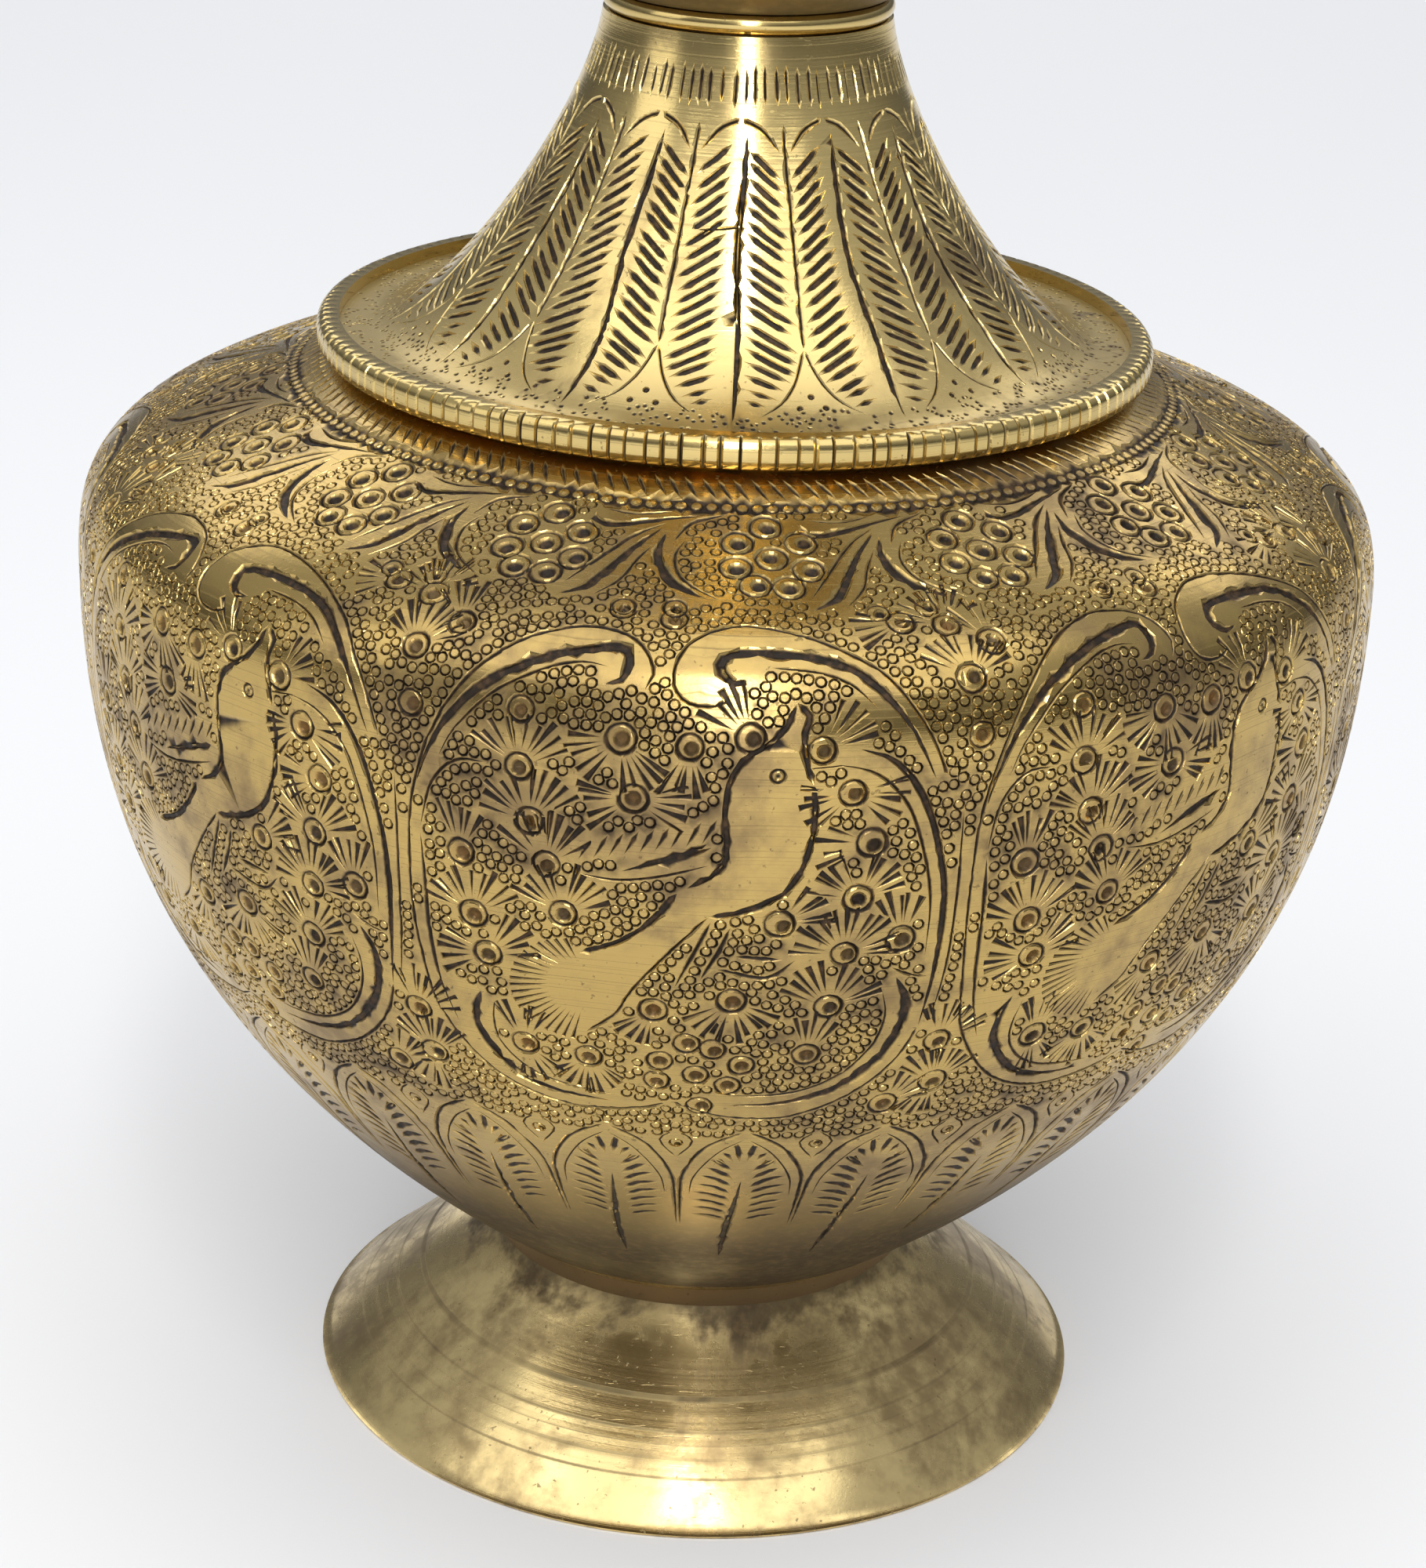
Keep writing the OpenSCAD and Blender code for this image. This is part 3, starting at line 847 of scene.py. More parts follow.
CREST_LINE = [(-16.6, 29.2), (-13, 28.9), (-9.4, 29.6)]
STEM = [(-3.8, 29.6), (-7.3, 28.2), (-8.8, 25.5)]
VINE_BERRIES = [(-11.8, 16.7), (-7.7, 17)]
PETALS = 27
PETAL_R = 55.0
PETAL_HEART = -46         # the run at which a petal's fine veins part


def engrave_vine(sheet, centre):
    """One unit of the vine, 22.5 degrees long, with its rosette at the given x."""
    drift = sheet.random.normal(0, 0.2, (2, 2))

    def cut(points, *options, **named):
        p = np.array(points, float) + drift[0] + (centre, 0)
        sheet.cut(p, VINE_R, *options, **named)

    strike_berries(sheet, np.array(ROSETTE) + (centre, 24) + drift[1], VINE_R, 1.1)
    for outline in (COMMA + COMMA_LINE[::-1], LEAF_LEFT + LEAF_RIGHT[::-1], CREST + STEM):
        sheet.take_area(sheet.layout(np.array(outline) + (centre, 0), VINE_R))
    cut(COMMA, 1.3, 0.34, (0.35, 0.3), ragged=0.1)
    cut(COMMA_LINE, 0.46, 0.2)
    cut(LEAF_VEIN, 1.2, 0.32, (0.5, 0.25), ragged=0.1)
    cut(LEAF_LEFT, 0.6, 0.24)
    cut(LEAF_RIGHT, 0.46, 0.2)
    cut(CREST, 1.1, 0.32, (0.1, 0.85), ragged=0.1)
    cut(CREST_LINE, 0.4, 0.2)
    cut(STEM, 0.48, 0.2)
    strike_berries(sheet, np.array(VINE_BERRIES) + (centre, 0), VINE_R, 0.78)


def engrave_shoulder_edge(sheet):
    """The row of rings and the row of slanting strokes under the collar."""
    around = 2 * math.pi * VINE_R
    start = sheet.left * VINE_R / sheet.outline.ring
    count = round(around / 1.62)
    row = [(start + around * i / count, 30.7) for i in range(count)]
    centres = sheet.layout(row, VINE_R)
    sheet.rings(centres, [0.6], [-0.2], [0.9], 9, [True], lean=0.3)
    sheet.rings(centres, [0.42], [-0.03], [0.2], 8, [False])
    sheet.rings(centres, [0], [0.02], [0.0], 1, [False])
    for x, y in centres:
        sheet.take(np.array([[x, y]]), 1.35)
    count = round(around / 1.9)
    for i in range(count):
        x = start + around * (i + sheet.random.uniform(-0.12, 0.12)) / count
        ends = [(x, 34.6), (x + 2, 31.6 + sheet.random.uniform(-0.2, 0.2))]
        sheet.cut(ends, VINE_R, 0.62, 0.22, (0.1, 0.5), step=1.2)


def engrave_petal(sheet, centre):
    """A pointed lotus petal with its dark vein and fine veins fanning from it."""
    drift = sheet.random.normal(0, 0.25)
    arch = [(6.2, -58), (6.1, -50), (5.6, -46), (3.5, -41.6), (0.1, -38.9)]
    for side in (-1, 1):
        outer = [(centre + side * x + drift * (y > -45), y) for x, y in arch]
        inner = [(centre + side * max(x - 0.9, 0), y - 1.1) for x, y in arch[1:]]
        sheet.cut(outer, PETAL_R, 0.56, 0.24, (0.3, 0.05), ragged=0.1)
        sheet.cut(inner, PETAL_R, 0.26, 0.13, (0.3, 0.1))
        for i in range(8):
            start = PETAL_HEART - 1.55 * i
            rise = 2.7 - 0.15 * i
            ends = [(centre + side * 0.8, start), (centre + side * 2.6, start + rise * 0.7),
                    (centre + side * min(4.9, 3.6 + 0.4 * i), start + rise)]
            sheet.cut(ends, PETAL_R, 0.84, 0.2, (0.15, 0.35), step=1.2, patina=0.9)
        for lean in (10, 28, 48):
            angle = math.radians(90 - side * lean)
            near, far = 2.1, 6.3 - 0.045 * lean
            ends = [(centre + d * math.cos(angle), PETAL_HEART + d * math.sin(angle)) for d in (near, far)]
            sheet.cut(ends, PETAL_R, 0.8, 0.2, (0.3, 0.4), step=1.2, patina=0.9)
    vein = [(centre, -47.5), (centre - 0.3, -52), (centre - 0.9, -60), (centre - 1.1, -68)]
    sheet.cut(vein, PETAL_R, 0.9, 0.3, (0.4, 0.3), ragged=0.12)
    tip = centre + math.pi * PETAL_R / PETALS
    diamond = [(tip, -38.9), (tip + 1.5, -40.8), (tip, -43.6), (tip - 1.5, -40.8), (tip, -38.9)]
    sheet.take_area(sheet.layout(diamond, PETAL_R))
    sheet.cut(diamond[:3], PETAL_R, 0.3, 0.15, (0.1, 0.1))
    sheet.cut(diamond[2:], PETAL_R, 0.3, 0.15, (0.1, 0.1))
    strike_berries(sheet, [(tip, -41)], PETAL_R, 0.45)


print(f"{VINE_UNITS} units of vine, {PETALS} petals")

# %% [markdown]
# The body's two halves share one layout, because the vine and the frames cross the belly seam. The seam at
# the back falls on a line between two panels. Tiles are quarters, each with two panels.

# %% Lay out the body
PANEL_TURN = 360 / PANELS
FRONT_PANEL = -3.0        # the front panel stands a little left of the middle, in degrees
FRONT_ROSETTE = 4.2       # and the front rosette and petal stand right of it
back_seam = FRONT_PANEL - 3.5 * PANEL_TURN
body_sheet = Sheet(body_outline, body_outline.run[0] + 2.5, body_outline.run[-1], back_seam, seed=7)
for panel in range(PANELS):
    angle = FRONT_PANEL + PANEL_TURN * (panel - 3)
    engrave_panel(body_sheet, math.radians(angle) * PANEL_R)
for unit in range(VINE_UNITS):
    angle = FRONT_ROSETTE + 360 / VINE_UNITS * (unit - 7)
    engrave_vine(body_sheet, math.radians(angle) * VINE_R)
for petal in range(PETALS):
    angle = FRONT_ROSETTE + 360 / PETALS * (petal - 12)
    engrave_petal(body_sheet, math.radians(angle) * PETAL_R)
engrave_shoulder_edge(body_sheet)
ground(body_sheet, -39.5, 30.2)
free_body = plain_metal(body_sheet, 1.8)
print(f"body layout: {len(body_sheet.marks)} marks")

# %% [markdown]
# The neck carries thirteen upright leaves, like those of a palm: each has a dark vein, a stack of slanting
# cuts on both sides, and a groove to its neighbour that parts at the foot. Over them is a band of short
# upright cuts, and under them the flange, darkened and roughened with fine punches. The fine punches go only
# where no cut has been made, so that they don't close one.

# %% Lay out the neck
LEAVES = 13
NECK_R = 20.0


def engrave_leaf(sheet, centre, half, foot_run, tip_run, band_r, droop=3.4, spacing=1.4):
    """One upright leaf between foot_run and tip_run, half its width to each side of its vein."""
    drift = sheet.random.normal(0, 0.15, 3)
    vein = [(centre + 0.3, foot_run - 1), (centre + 0.5 + drift[0], foot_run + 8),
            (centre + 0.2 + drift[1], foot_run + 17), (centre + 0.7 + drift[2], tip_run - 1.5)]
    sheet.cut(vein, band_r, 0.75, 0.3, (0.15, 0.1), ragged=0.14)
    rows = int((tip_run - foot_run - 2.2) / spacing)
    for side in (-1, 1):
        for i in range(rows):
            run = foot_run + 1.7 + spacing * i + sheet.random.normal(0, 0.12)
            narrow = min(1, 0.5 + 0.12 * i)
            outer = centre + side * (half - 0.4) * narrow + sheet.random.normal(0, 0.12)
            drop = droop * narrow * (outer - centre) * side / half
            ends = [(centre + side * 0.85, run), (outer, run - drop)]
            sheet.cut(ends, band_r, 0.72, 0.25, (0.12, 0.25), step=1.1)
        chevron = [(centre - 0.2 * side, tip_run), (centre + side * 2.4, tip_run - 1),
                   (centre + side * (half - 0.6), tip_run - 3.1)]
        sheet.cut(chevron, band_r, 0.62, 0.26, (0.05, 0.3))


def leaf_groove(sheet, x, foot_run, tip_run, band_r):
    """The groove between two leaves. It parts into an inverted V at the foot."""
    fork = foot_run + 7
    stem = [(x, fork), (x + sheet.random.normal(0, 0.15), (fork + tip_run) / 2), (x, tip_run + 0.5)]
    sheet.cut(stem, band_r, 0.55, 0.24, (0.05, 0.05), ragged=0.16)
    for side in (-1, 1):
        curve = [(x, fork + 0.3), (x + side * 0.75, foot_run + 4), (x + side * 1.7, foot_run + 1.6),
                 (x + side * 3.2, foot_run - 0.4)]
        sheet.cut(curve, band_r, 0.36, 0.18, (0.1, 0.3))


def untouched(sheet, points):
    """The points of the flat sheet that no mark has taken."""
    kept = []
    for point in points:
        row, col = sheet.cell_of(*point)
        if not sheet.taken[row % sheet.rows, col % sheet.cols]:
            kept.append(point)
    return np.array(kept)


neck_sheet = Sheet(neck_outline, neck_outline.run[0], neck_outline.run[-1], -180.0, seed=11)
leaf_turn = 2 * math.pi * NECK_R / LEAVES
LEAF_FOOT, LEAF_TIP = 2.8, 32.3
for leaf in range(LEAVES):
    centre = -0.25 + leaf_turn * (leaf - LEAVES // 2)
    engrave_leaf(neck_sheet, centre, leaf_turn / 2, LEAF_FOOT, LEAF_TIP, NECK_R)
    edge = centre + leaf_turn / 2
    leaf_groove(neck_sheet, edge, LEAF_FOOT, LEAF_TIP - 1, NECK_R)
    dots = [(edge, LEAF_FOOT + 2.2), (edge - 0.75, LEAF_FOOT + 0.9), (edge + 0.75, LEAF_FOOT + 0.9)]
    neck_sheet.rings(neck_sheet.layout(dots, NECK_R), [0.36, 0.2, 0], [0, -0.22, -0.3], [0.3, 1, 1], 8,
                     [True, False, False])
UPRIGHTS = 92             # short cuts round the neck, and round the mouth
for i in range(UPRIGHTS):
    x = leaf_turn * LEAVES * ((i + neck_sheet.random.uniform(-0.2, 0.2)) / UPRIGHTS - 0.5)
    low = 33.3 + neck_sheet.random.uniform(-0.2, 0.3)
    high = 37.2 + neck_sheet.random.uniform(-0.4, 0.3)
    width = neck_sheet.random.uniform(0.3, 0.62)
    neck_sheet.cut([(x, low), (x + neck_sheet.random.normal(0, 0.08), high)], NECK_R, width, 0.2, (0.1, 0.1))
STIPPLE = 1500
stipple_runs = neck_sheet.random.uniform(-2.8, LEAF_FOOT + 0.6, STIPPLE)
stipple_x = neck_sheet.random.uniform(-1, 1, STIPPLE) * math.pi * NECK_R
stipple = neck_sheet.layout(np.column_stack([stipple_x, stipple_runs]), NECK_R)
stipple = untouched(neck_sheet, stipple)
neck_sheet.rings(stipple, [0.3, 0], [0, -0.14], [0.5, 1.0], 6, [True, False])
neck_sheet.cut([(-4.2, 21.5), (-2, 21.7), (0.3, 22.1)], NECK_R, 0.35, 0.2, (0.6, 0.1))
free_neck = plain_metal(neck_sheet, 1.3)
print(f"neck layout: {len(neck_sheet.marks)} marks, {len(stipple)} fine punches on the flange")

# %% [markdown]
# The mouth repeats the neck's leaf, in nine broad leaves under a ring of upright cuts. Pots of this kind are
# usually finished so, and one function of the leaf's place, length and width serves both.

# %% Lay out the mouth
MOUTH_LEAVES = 9
mouth_sheet = Sheet(mouth_outline, 0.0, mouth_outline.run[-1], -180.0, seed=13)
mouth_turn = 2 * math.pi * mouth_outline.ring / MOUTH_LEAVES
MOUTH_FOOT, MOUTH_TIP = 8.0, 40.0
for leaf in range(MOUTH_LEAVES):
    centre = mouth_turn * (leaf - MOUTH_LEAVES // 2)
    engrave_leaf(mouth_sheet, centre, mouth_turn / 2, MOUTH_FOOT, MOUTH_TIP, mouth_outline.ring)
    leaf_groove(mouth_sheet, centre + mouth_turn / 2, MOUTH_FOOT, MOUTH_TIP - 1, mouth_outline.ring)
for i in range(UPRIGHTS):
    x = mouth_turn * MOUTH_LEAVES * ((i + mouth_sheet.random.uniform(-0.2, 0.2)) / UPRIGHTS - 0.5)
    ends = [(x, 42.5), (x, 45.6 + mouth_sheet.random.uniform(-0.3, 0.3))]
    mouth_sheet.cut(ends, mouth_outline.ring, mouth_sheet.random.uniform(0.25, 0.42), 0.18, (0.1, 0.1))
free_mouth = plain_metal(mouth_sheet, 1.3)
print(f"mouth layout: {len(mouth_sheet.marks)} marks")

# %% [markdown]
# Finishes. All the brass is one alloy, and what differs is what has happened to it: black sulphide sits in
# every cut, a brown bloom lies over the metal in clouds, the turned pieces keep fine rings from the lathe,
# and handling has drawn hair scratches. Each of these is a node group used by several materials. The groups
# read Object coordinates, so a pattern stays where it is on the metal.

# %% Shader groups
def new_group(name, inputs, outputs):
    group = bpy.data.node_groups.new(name, "ShaderNodeTree")
    for label, value in inputs.items():
        socket = group.interface.new_socket(label, in_out="INPUT", socket_type="NodeSocketFloat")
        socket.default_value = value
    for label in outputs:
        group.interface.new_socket(label, in_out="OUTPUT", socket_type="NodeSocketFloat")
    return group, group.nodes.new("NodeGroupInput"), group.nodes.new("NodeGroupOutput")


class Wiring:
    """Short ways to add and join nodes in one tree."""

    def __init__(self, tree):
        self.tree = tree
        self.nodes = tree.nodes

    def join(self, value, socket):
        if isinstance(value, bpy.types.NodeSocket):
            self.tree.links.new(value, socket)
        elif value is not None:
            socket.default_value = value

    def math(self, operation, a, b=None, clamp=False):
        node = self.nodes.new("ShaderNodeMath")
        node.operation = operation
        node.use_clamp = clamp
        self.join(a, node.inputs[0])
        self.join(b, node.inputs[1])
        return node.outputs[0]

    def noise(self, vector, scale, detail=3.0, roughness=0.55, distortion=0.0):
        node = self.nodes.new("ShaderNodeTexNoise")
        self.join(vector, node.inputs["Vector"])
        self.join(scale, node.inputs["Scale"])
        node.inputs["Detail"].default_value = detail
        node.inputs["Roughness"].default_value = roughness
        node.inputs["Distortion"].default_value = distortion
        return node.outputs["Fac"]

    def ramp(self, value, low, high, to_low=0.0, to_high=1.0):
        node = self.nodes.new("ShaderNodeMapRange")
        node.interpolation_type = "SMOOTHSTEP"
        self.join(value, node.inputs["Value"])
        for label, amount in zip(("From Min", "From Max", "To Min", "To Max"), (low, high, to_low, to_high)):
            self.join(amount, node.inputs[label])
        return node.outputs["Result"]

    def stretched(self, turn, size):
        """Object coordinates turned and stretched, for marks that run one way."""
        place = self.nodes.new("ShaderNodeTexCoord")
        mapping = self.nodes.new("ShaderNodeMapping")
        mapping.inputs["Rotation"].default_value = turn
        mapping.inputs["Scale"].default_value = size
        self.join(place.outputs["Object"], mapping.inputs["Vector"])
        return mapping.outputs["Vector"]

    def mix(self, factor, a, b):
        node = self.nodes.new("ShaderNodeMix")
        node.data_type = "RGBA"
        self.join(factor, node.inputs["Factor"])
        self.join(a, node.inputs["A"])
        self.join(b, node.inputs["B"])
        return node.outputs["Result"]

    def value(self, name):
        node = self.nodes.new("ShaderNodeAttribute")
        node.attribute_name = name
        return node.outputs["Fac"]


def tarnish_group():
    """Clouds of brown bloom, and small black specks."""
    group, given, out = new_group("tarnish", {"Cloud Size": 45.0, "Amount": 0.5}, ["Bloom", "Specks"])
    wire = Wiring(group)
    place = wire.nodes.new("ShaderNodeTexCoord").outputs["Object"]
    large = wire.noise(place, given.outputs["Cloud Size"], 5.0, 0.62, 0.6)
    small = wire.noise(place, 420.0, 4.0, 0.6)
    both = wire.math("ADD", wire.math("MULTIPLY", large, 0.7), wire.math("MULTIPLY", small, 0.3))
    edge = wire.math("SUBTRACT", 0.82, wire.math("MULTIPLY", given.outputs["Amount"], 0.5))
    bloom = wire.ramp(both, wire.math("SUBTRACT", edge, 0.13), wire.math("ADD", edge, 0.1))
    wire.join(bloom, out.inputs["Bloom"])
    specks = wire.ramp(wire.noise(place, 1500.0, 2.0), 0.66, 0.74)
    wire.join(specks, out.inputs["Specks"])
    return group


def turning_group():
    """Rings left by the lathe, by height and radius, broken up where the metal was rubbed."""
    group, given, out = new_group("turning_rings", {"Fineness": 2600.0, "Wear": 0.5}, ["Height", "Lines"])
    wire = Wiring(group)
    place = wire.nodes.new("ShaderNodeTexCoord").outputs["Object"]
    split = wire.nodes.new("ShaderNodeSeparateXYZ")
    wire.join(place, split.inputs[0])
    x, y, z = split.outputs
    square = wire.math("ADD", wire.math("MULTIPLY", x, x), wire.math("MULTIPLY", y, y))
    along = wire.math("ADD", wire.math("SQRT", square), z)
    line = wire.nodes.new("ShaderNodeTexNoise")
    line.noise_dimensions = "1D"
    wire.join(along, line.inputs["W"])
    wire.join(given.outputs["Fineness"], line.inputs["Scale"])
    line.inputs["Detail"].default_value = 4.0
    broken = wire.ramp(wire.noise(place, 70.0, 4.0), 0.3, 0.7)
    kept = wire.math("SUBTRACT", 1.0, wire.math("MULTIPLY", given.outputs["Wear"], broken))
    wire.join(wire.math("MULTIPLY", line.outputs["Fac"], kept), out.inputs["Height"])
    lines = wire.math("MULTIPLY", wire.ramp(line.outputs["Fac"], 0.55, 0.72), kept)
    wire.join(lines, out.inputs["Lines"])
    return group


def hair_scratch_group():
    """Fine scratches from cleaning and handling, in three directions."""
    group, given, out = new_group("hair_scratches", {"Amount": 0.5}, ["Scratches"])
    wire = Wiring(group)
    total = 0.0
    for turn in ((0.3, 0.2, 0.9), (1.1, 0.4, -0.5), (-0.4, 1.2, 0.1)):
        strands = wire.noise(wire.stretched(turn, (90.0, 2600.0, 2600.0)), 1.0, 2.0, 0.5)
        total = wire.math("ADD", wire.ramp(strands, 0.69, 0.76), total)
    wire.join(wire.math("MULTIPLY", total, given.outputs["Amount"], clamp=True), out.inputs["Scratches"])
    return group


tarnish = tarnish_group()
turning = turning_group()
hair_scratches = hair_scratch_group()
for group in (tarnish, turning, hair_scratches):
    print(f"node group {group.name}: {len(group.nodes)} nodes")

# %% [markdown]
# One function makes every brass. What the craftsman would call the state of the metal becomes its arguments:
# its colour when clean, how much bloom it carries, how rough it is, how strong the lathe's rings still are,
# and whether it was engraved. One more argument paints shade: the metal is darkened towards a crease, where
# shade falls. The black in a cut is soot and wax, so it is rough and hardly metallic, and brown where it is
# thin, and the painted shade takes the same colours. All the finishes could be one image painted by hand, but
# then a new size of pot would need a new painting.

# %% Brass finishes
CLEAN_BRASS = (0.53, 0.37, 0.13, 1)
BLOOM_BROWN = (0.25, 0.17, 0.085, 1)
# The black and brown of the sulphide in the cuts, which also colour the painted shade
CUT_AND_SHADE_BLACK = (0.02, 0.013, 0.008, 1)
CUT_AND_SHADE_BROWN = (0.07, 0.04, 0.018, 1)
OLD_LACQUER = (0.30, 0.13, 0.022, 1)
HANDLED_BRASS = (0.58, 0.42, 0.15, 1)


def brass(name, clean=CLEAN_BRASS, bloom=0.5, rough=0.27, rings=0.0, cloud=45.0, engraved=False, painted_shade=None):
    """One finish. painted_shade gives the height with no shade, the height of the darkest painted shade, and
    how dark it gets.
    """
    material = bpy.data.materials.new(name)
    material.use_nodes = True
    wire = Wiring(material.node_tree)
    shader = wire.nodes["Principled BSDF"]

    def group(tree, **values):
        node = wire.nodes.new("ShaderNodeGroup")
        node.node_tree = tree
        for label, value in values.items():
            wire.join(value, node.inputs[label.replace("_", " ")])
        return node.outputs

    stain = group(tarnish, Cloud_Size=cloud, Amount=bloom)
    turned = group(turning, Wear=0.6, Fineness=5200.0)
    hair = group(hair_scratches, Amount=0.6)
    shader.inputs["Specular IOR Level"].default_value = 0.25
    black = wire.math("MULTIPLY", stain["Specks"], 0.5)
    black = wire.math("MAXIMUM", black, wire.math("MULTIPLY", turned["Lines"], 0.75 * rings))
    colour = wire.mix(wire.math("MULTIPLY", stain["Bloom"], 0.8), clean, BLOOM_BROWN)
    if engraved:
        cloud_edge = wire.math("MULTIPLY", stain["Bloom"], 0.3)
        dark = wire.ramp(wire.math("ADD", wire.value("patina"), cloud_edge), 0.28, 0.82)
        clear = wire.math("SUBTRACT", 1.0, wire.math("MULTIPLY", wire.value("amber"), 0.6))
        black = wire.math("MULTIPLY", wire.math("MAXIMUM", black, dark), clear)
        colour = wire.mix(wire.value("amber"), colour, OLD_LACQUER)
    # Painted shade: between two heights the metal is darkened towards a crease or an overhang, where shade
    # falls
    if painted_shade:
        unshaded_level, shaded_level, most = painted_shade
        height = wire.nodes.new("ShaderNodeSeparateXYZ")
        wire.join(wire.nodes.new("ShaderNodeTexCoord").outputs["Object"], height.inputs[0])
        ragged = wire.math("MULTIPLY", wire.math("SUBTRACT", stain["Bloom"], 0.5), 3 * MM)
        level = wire.math("ADD", height.outputs["Z"], ragged)
        black = wire.math("MAXIMUM", black, wire.ramp(level, unshaded_level * MM, shaded_level * MM, 0.0, most))
    place = wire.nodes.new("ShaderNodeTexCoord").outputs["Object"]
    # One dark colour for the black in the cuts, the specks, the lathe's lines and the painted shade
    soot_and_shade = wire.mix(wire.ramp(wire.noise(place, 1100.0, 3.0), 0.45, 0.7), CUT_AND_SHADE_BLACK, CUT_AND_SHADE_BROWN)
    colour = wire.mix(black, colour, soot_and_shade)
    wire.join(colour, shader.inputs["Base Color"])
    wire.join(wire.math("SUBTRACT", 1.0, wire.math("MULTIPLY", black, 0.75)), shader.inputs["Metallic"])
    roughness = wire.math("ADD", rough, wire.math("MULTIPLY", stain["Bloom"], 0.16))
    roughness = wire.math("ADD", roughness, wire.math("MULTIPLY", hair["Scratches"], 0.12))
    roughness = wire.math("ADD", roughness, wire.math("MULTIPLY", black, 0.3), clamp=True)
    wire.join(roughness, shader.inputs["Roughness"])
    dents = wire.math("MULTIPLY", wire.noise(place, 75.0, 2.0), 0.05)
    grain = wire.math("MULTIPLY", wire.noise(place, 2400.0, 3.0), 0.006)
    height = wire.math("ADD", dents, grain)
    height = wire.math("ADD", height, wire.math("MULTIPLY", turned["Height"], 0.03 * rings))
    height = wire.math("SUBTRACT", height, wire.math("MULTIPLY", hair["Scratches"], 0.006))
    bump = wire.nodes.new("ShaderNodeBump")
    bump.inputs["Distance"].default_value = MM
    bump.inputs["Strength"].default_value = 1.0
    wire.join(height, bump.inputs["Height"])
    wire.join(bump.outputs["Normal"], shader.inputs["Normal"])
    return material


# Painted shade on the bottom of the bowl, where the waist lies in shadow
body_brass = brass("body_brass", (0.53, 0.37, 0.128, 1), bloom=0.55, rough=0.19, rings=0.5, engraved=True,
                   painted_shade=(50, 30, 0.92))
hoop_top_h = hoop_bottom_h + hoop_h
# Painted shade on the neck just above the hoop
neck_brass = brass("neck_brass", (0.78, 0.59, 0.24, 1), bloom=0.4, rough=0.17, rings=0.6, engraved=True,
                   painted_shade=(hoop_top_h + 3, hoop_top_h - 2, 0.35))
# Painted shade on the top of the foot, under the bowl
foot_brass = brass("foot_brass", (0.82, 0.63, 0.29, 1), bloom=0.55, rough=0.18, rings=1.0, cloud=60.0,
                   painted_shade=(12, 16, 0.8))
turned_brass = brass("turned_brass", HANDLED_BRASS, bloom=0.6, rough=0.22, rings=1.0, cloud=60.0)
# Painted shade on the lower part of the knop, over the ring
knop_brass = brass("knop_brass", HANDLED_BRASS, bloom=0.6, rough=0.22, rings=1.0, cloud=60.0,
                   painted_shade=(knop_bottom_h + 5, knop_bottom_h, 0.75))
bright_brass = brass("bright_brass", (0.64, 0.48, 0.19, 1), bloom=0.2, rough=0.17, rings=0.4, engraved=True)
inner_brass = brass("inner_brass", bloom=0.9, rough=0.42, rings=0.3)
# The brazed seams are darker than the brass, and the spelter is made nearly black as painted shade for the
# seam at the waist, which lies in shadow
spelter = brass("spelter", (0.06, 0.042, 0.024, 1), bloom=0.9, rough=0.5, cloud=150.0)
visible_finishes = (body_brass, neck_brass, foot_brass, turned_brass, knop_brass, bright_brass)
for finish in visible_finishes + (inner_brass, spelter):
    print(f"  {finish.name}: {len(finish.node_tree.nodes)} nodes")

# %% [markdown]
# Now the sheets are cut. Guides run round the edges, along the belly seam, and up the lines between the
# parts: quarters for the body, which is the largest sheet, and halves for the neck and the mouth.

# %% Build the engraved pieces
def sheet_guides(sheet, free, levels, columns):
    right = sheet.left + sheet.length
    lines = [[(sheet.left, y), (right, y)] for y in levels]
    lines += [[(x, levels[0]), (x, levels[-1])] for x in columns]
    return [sheet.guide(line, free) for line in lines]


def parting_lines(sheet, parts):
    return [sheet.left + sheet.length * i / parts for i in range(parts + 1)]


def build_halves(name, sheet, free, finish):
    """A round sheet as a left and a right half."""
    columns = parting_lines(sheet, 2)
    guides = sheet_guides(sheet, free, [sheet.low, sheet.high], columns)
    halves = [(f"{name}_{side}", left, right, sheet.low, sheet.high)
              for side, left, right in zip(("left", "right"), columns, columns[1:])]
    return part_sheet(sheet, guides, halves, upper_wall, finish)


columns = parting_lines(body_sheet, 4)
guides = sheet_guides(body_sheet, free_body, [body_sheet.low, 0.0, body_sheet.high], columns)
tiles = []
for quarter, (left, right) in enumerate(zip(columns, columns[1:]), 1):
    tiles.append((f"bowl_quarter_{quarter}", left, right, body_sheet.low, 0.0))
    tiles.append((f"shoulder_quarter_{quarter}", left, right, 0.0, body_sheet.high))
body_tiles = part_sheet(body_sheet, guides, tiles, body_wall, body_brass)
neck_tiles = build_halves("neck", neck_sheet, free_neck, neck_brass)
mouth_tiles = build_halves("mouth", mouth_sheet, free_mouth, neck_brass)

# %% [markdown]
# The turned pieces, the foot, the knop, the rings and the lip, all follow one rule: an outline goes once
# round the axis. That is a lathe, and a Geometry Nodes tree makes one: the outline is swept along a circle.
# The modifier's result is then made a plain mesh. Its corners are kept sharp only where the outline turns
# sharply.

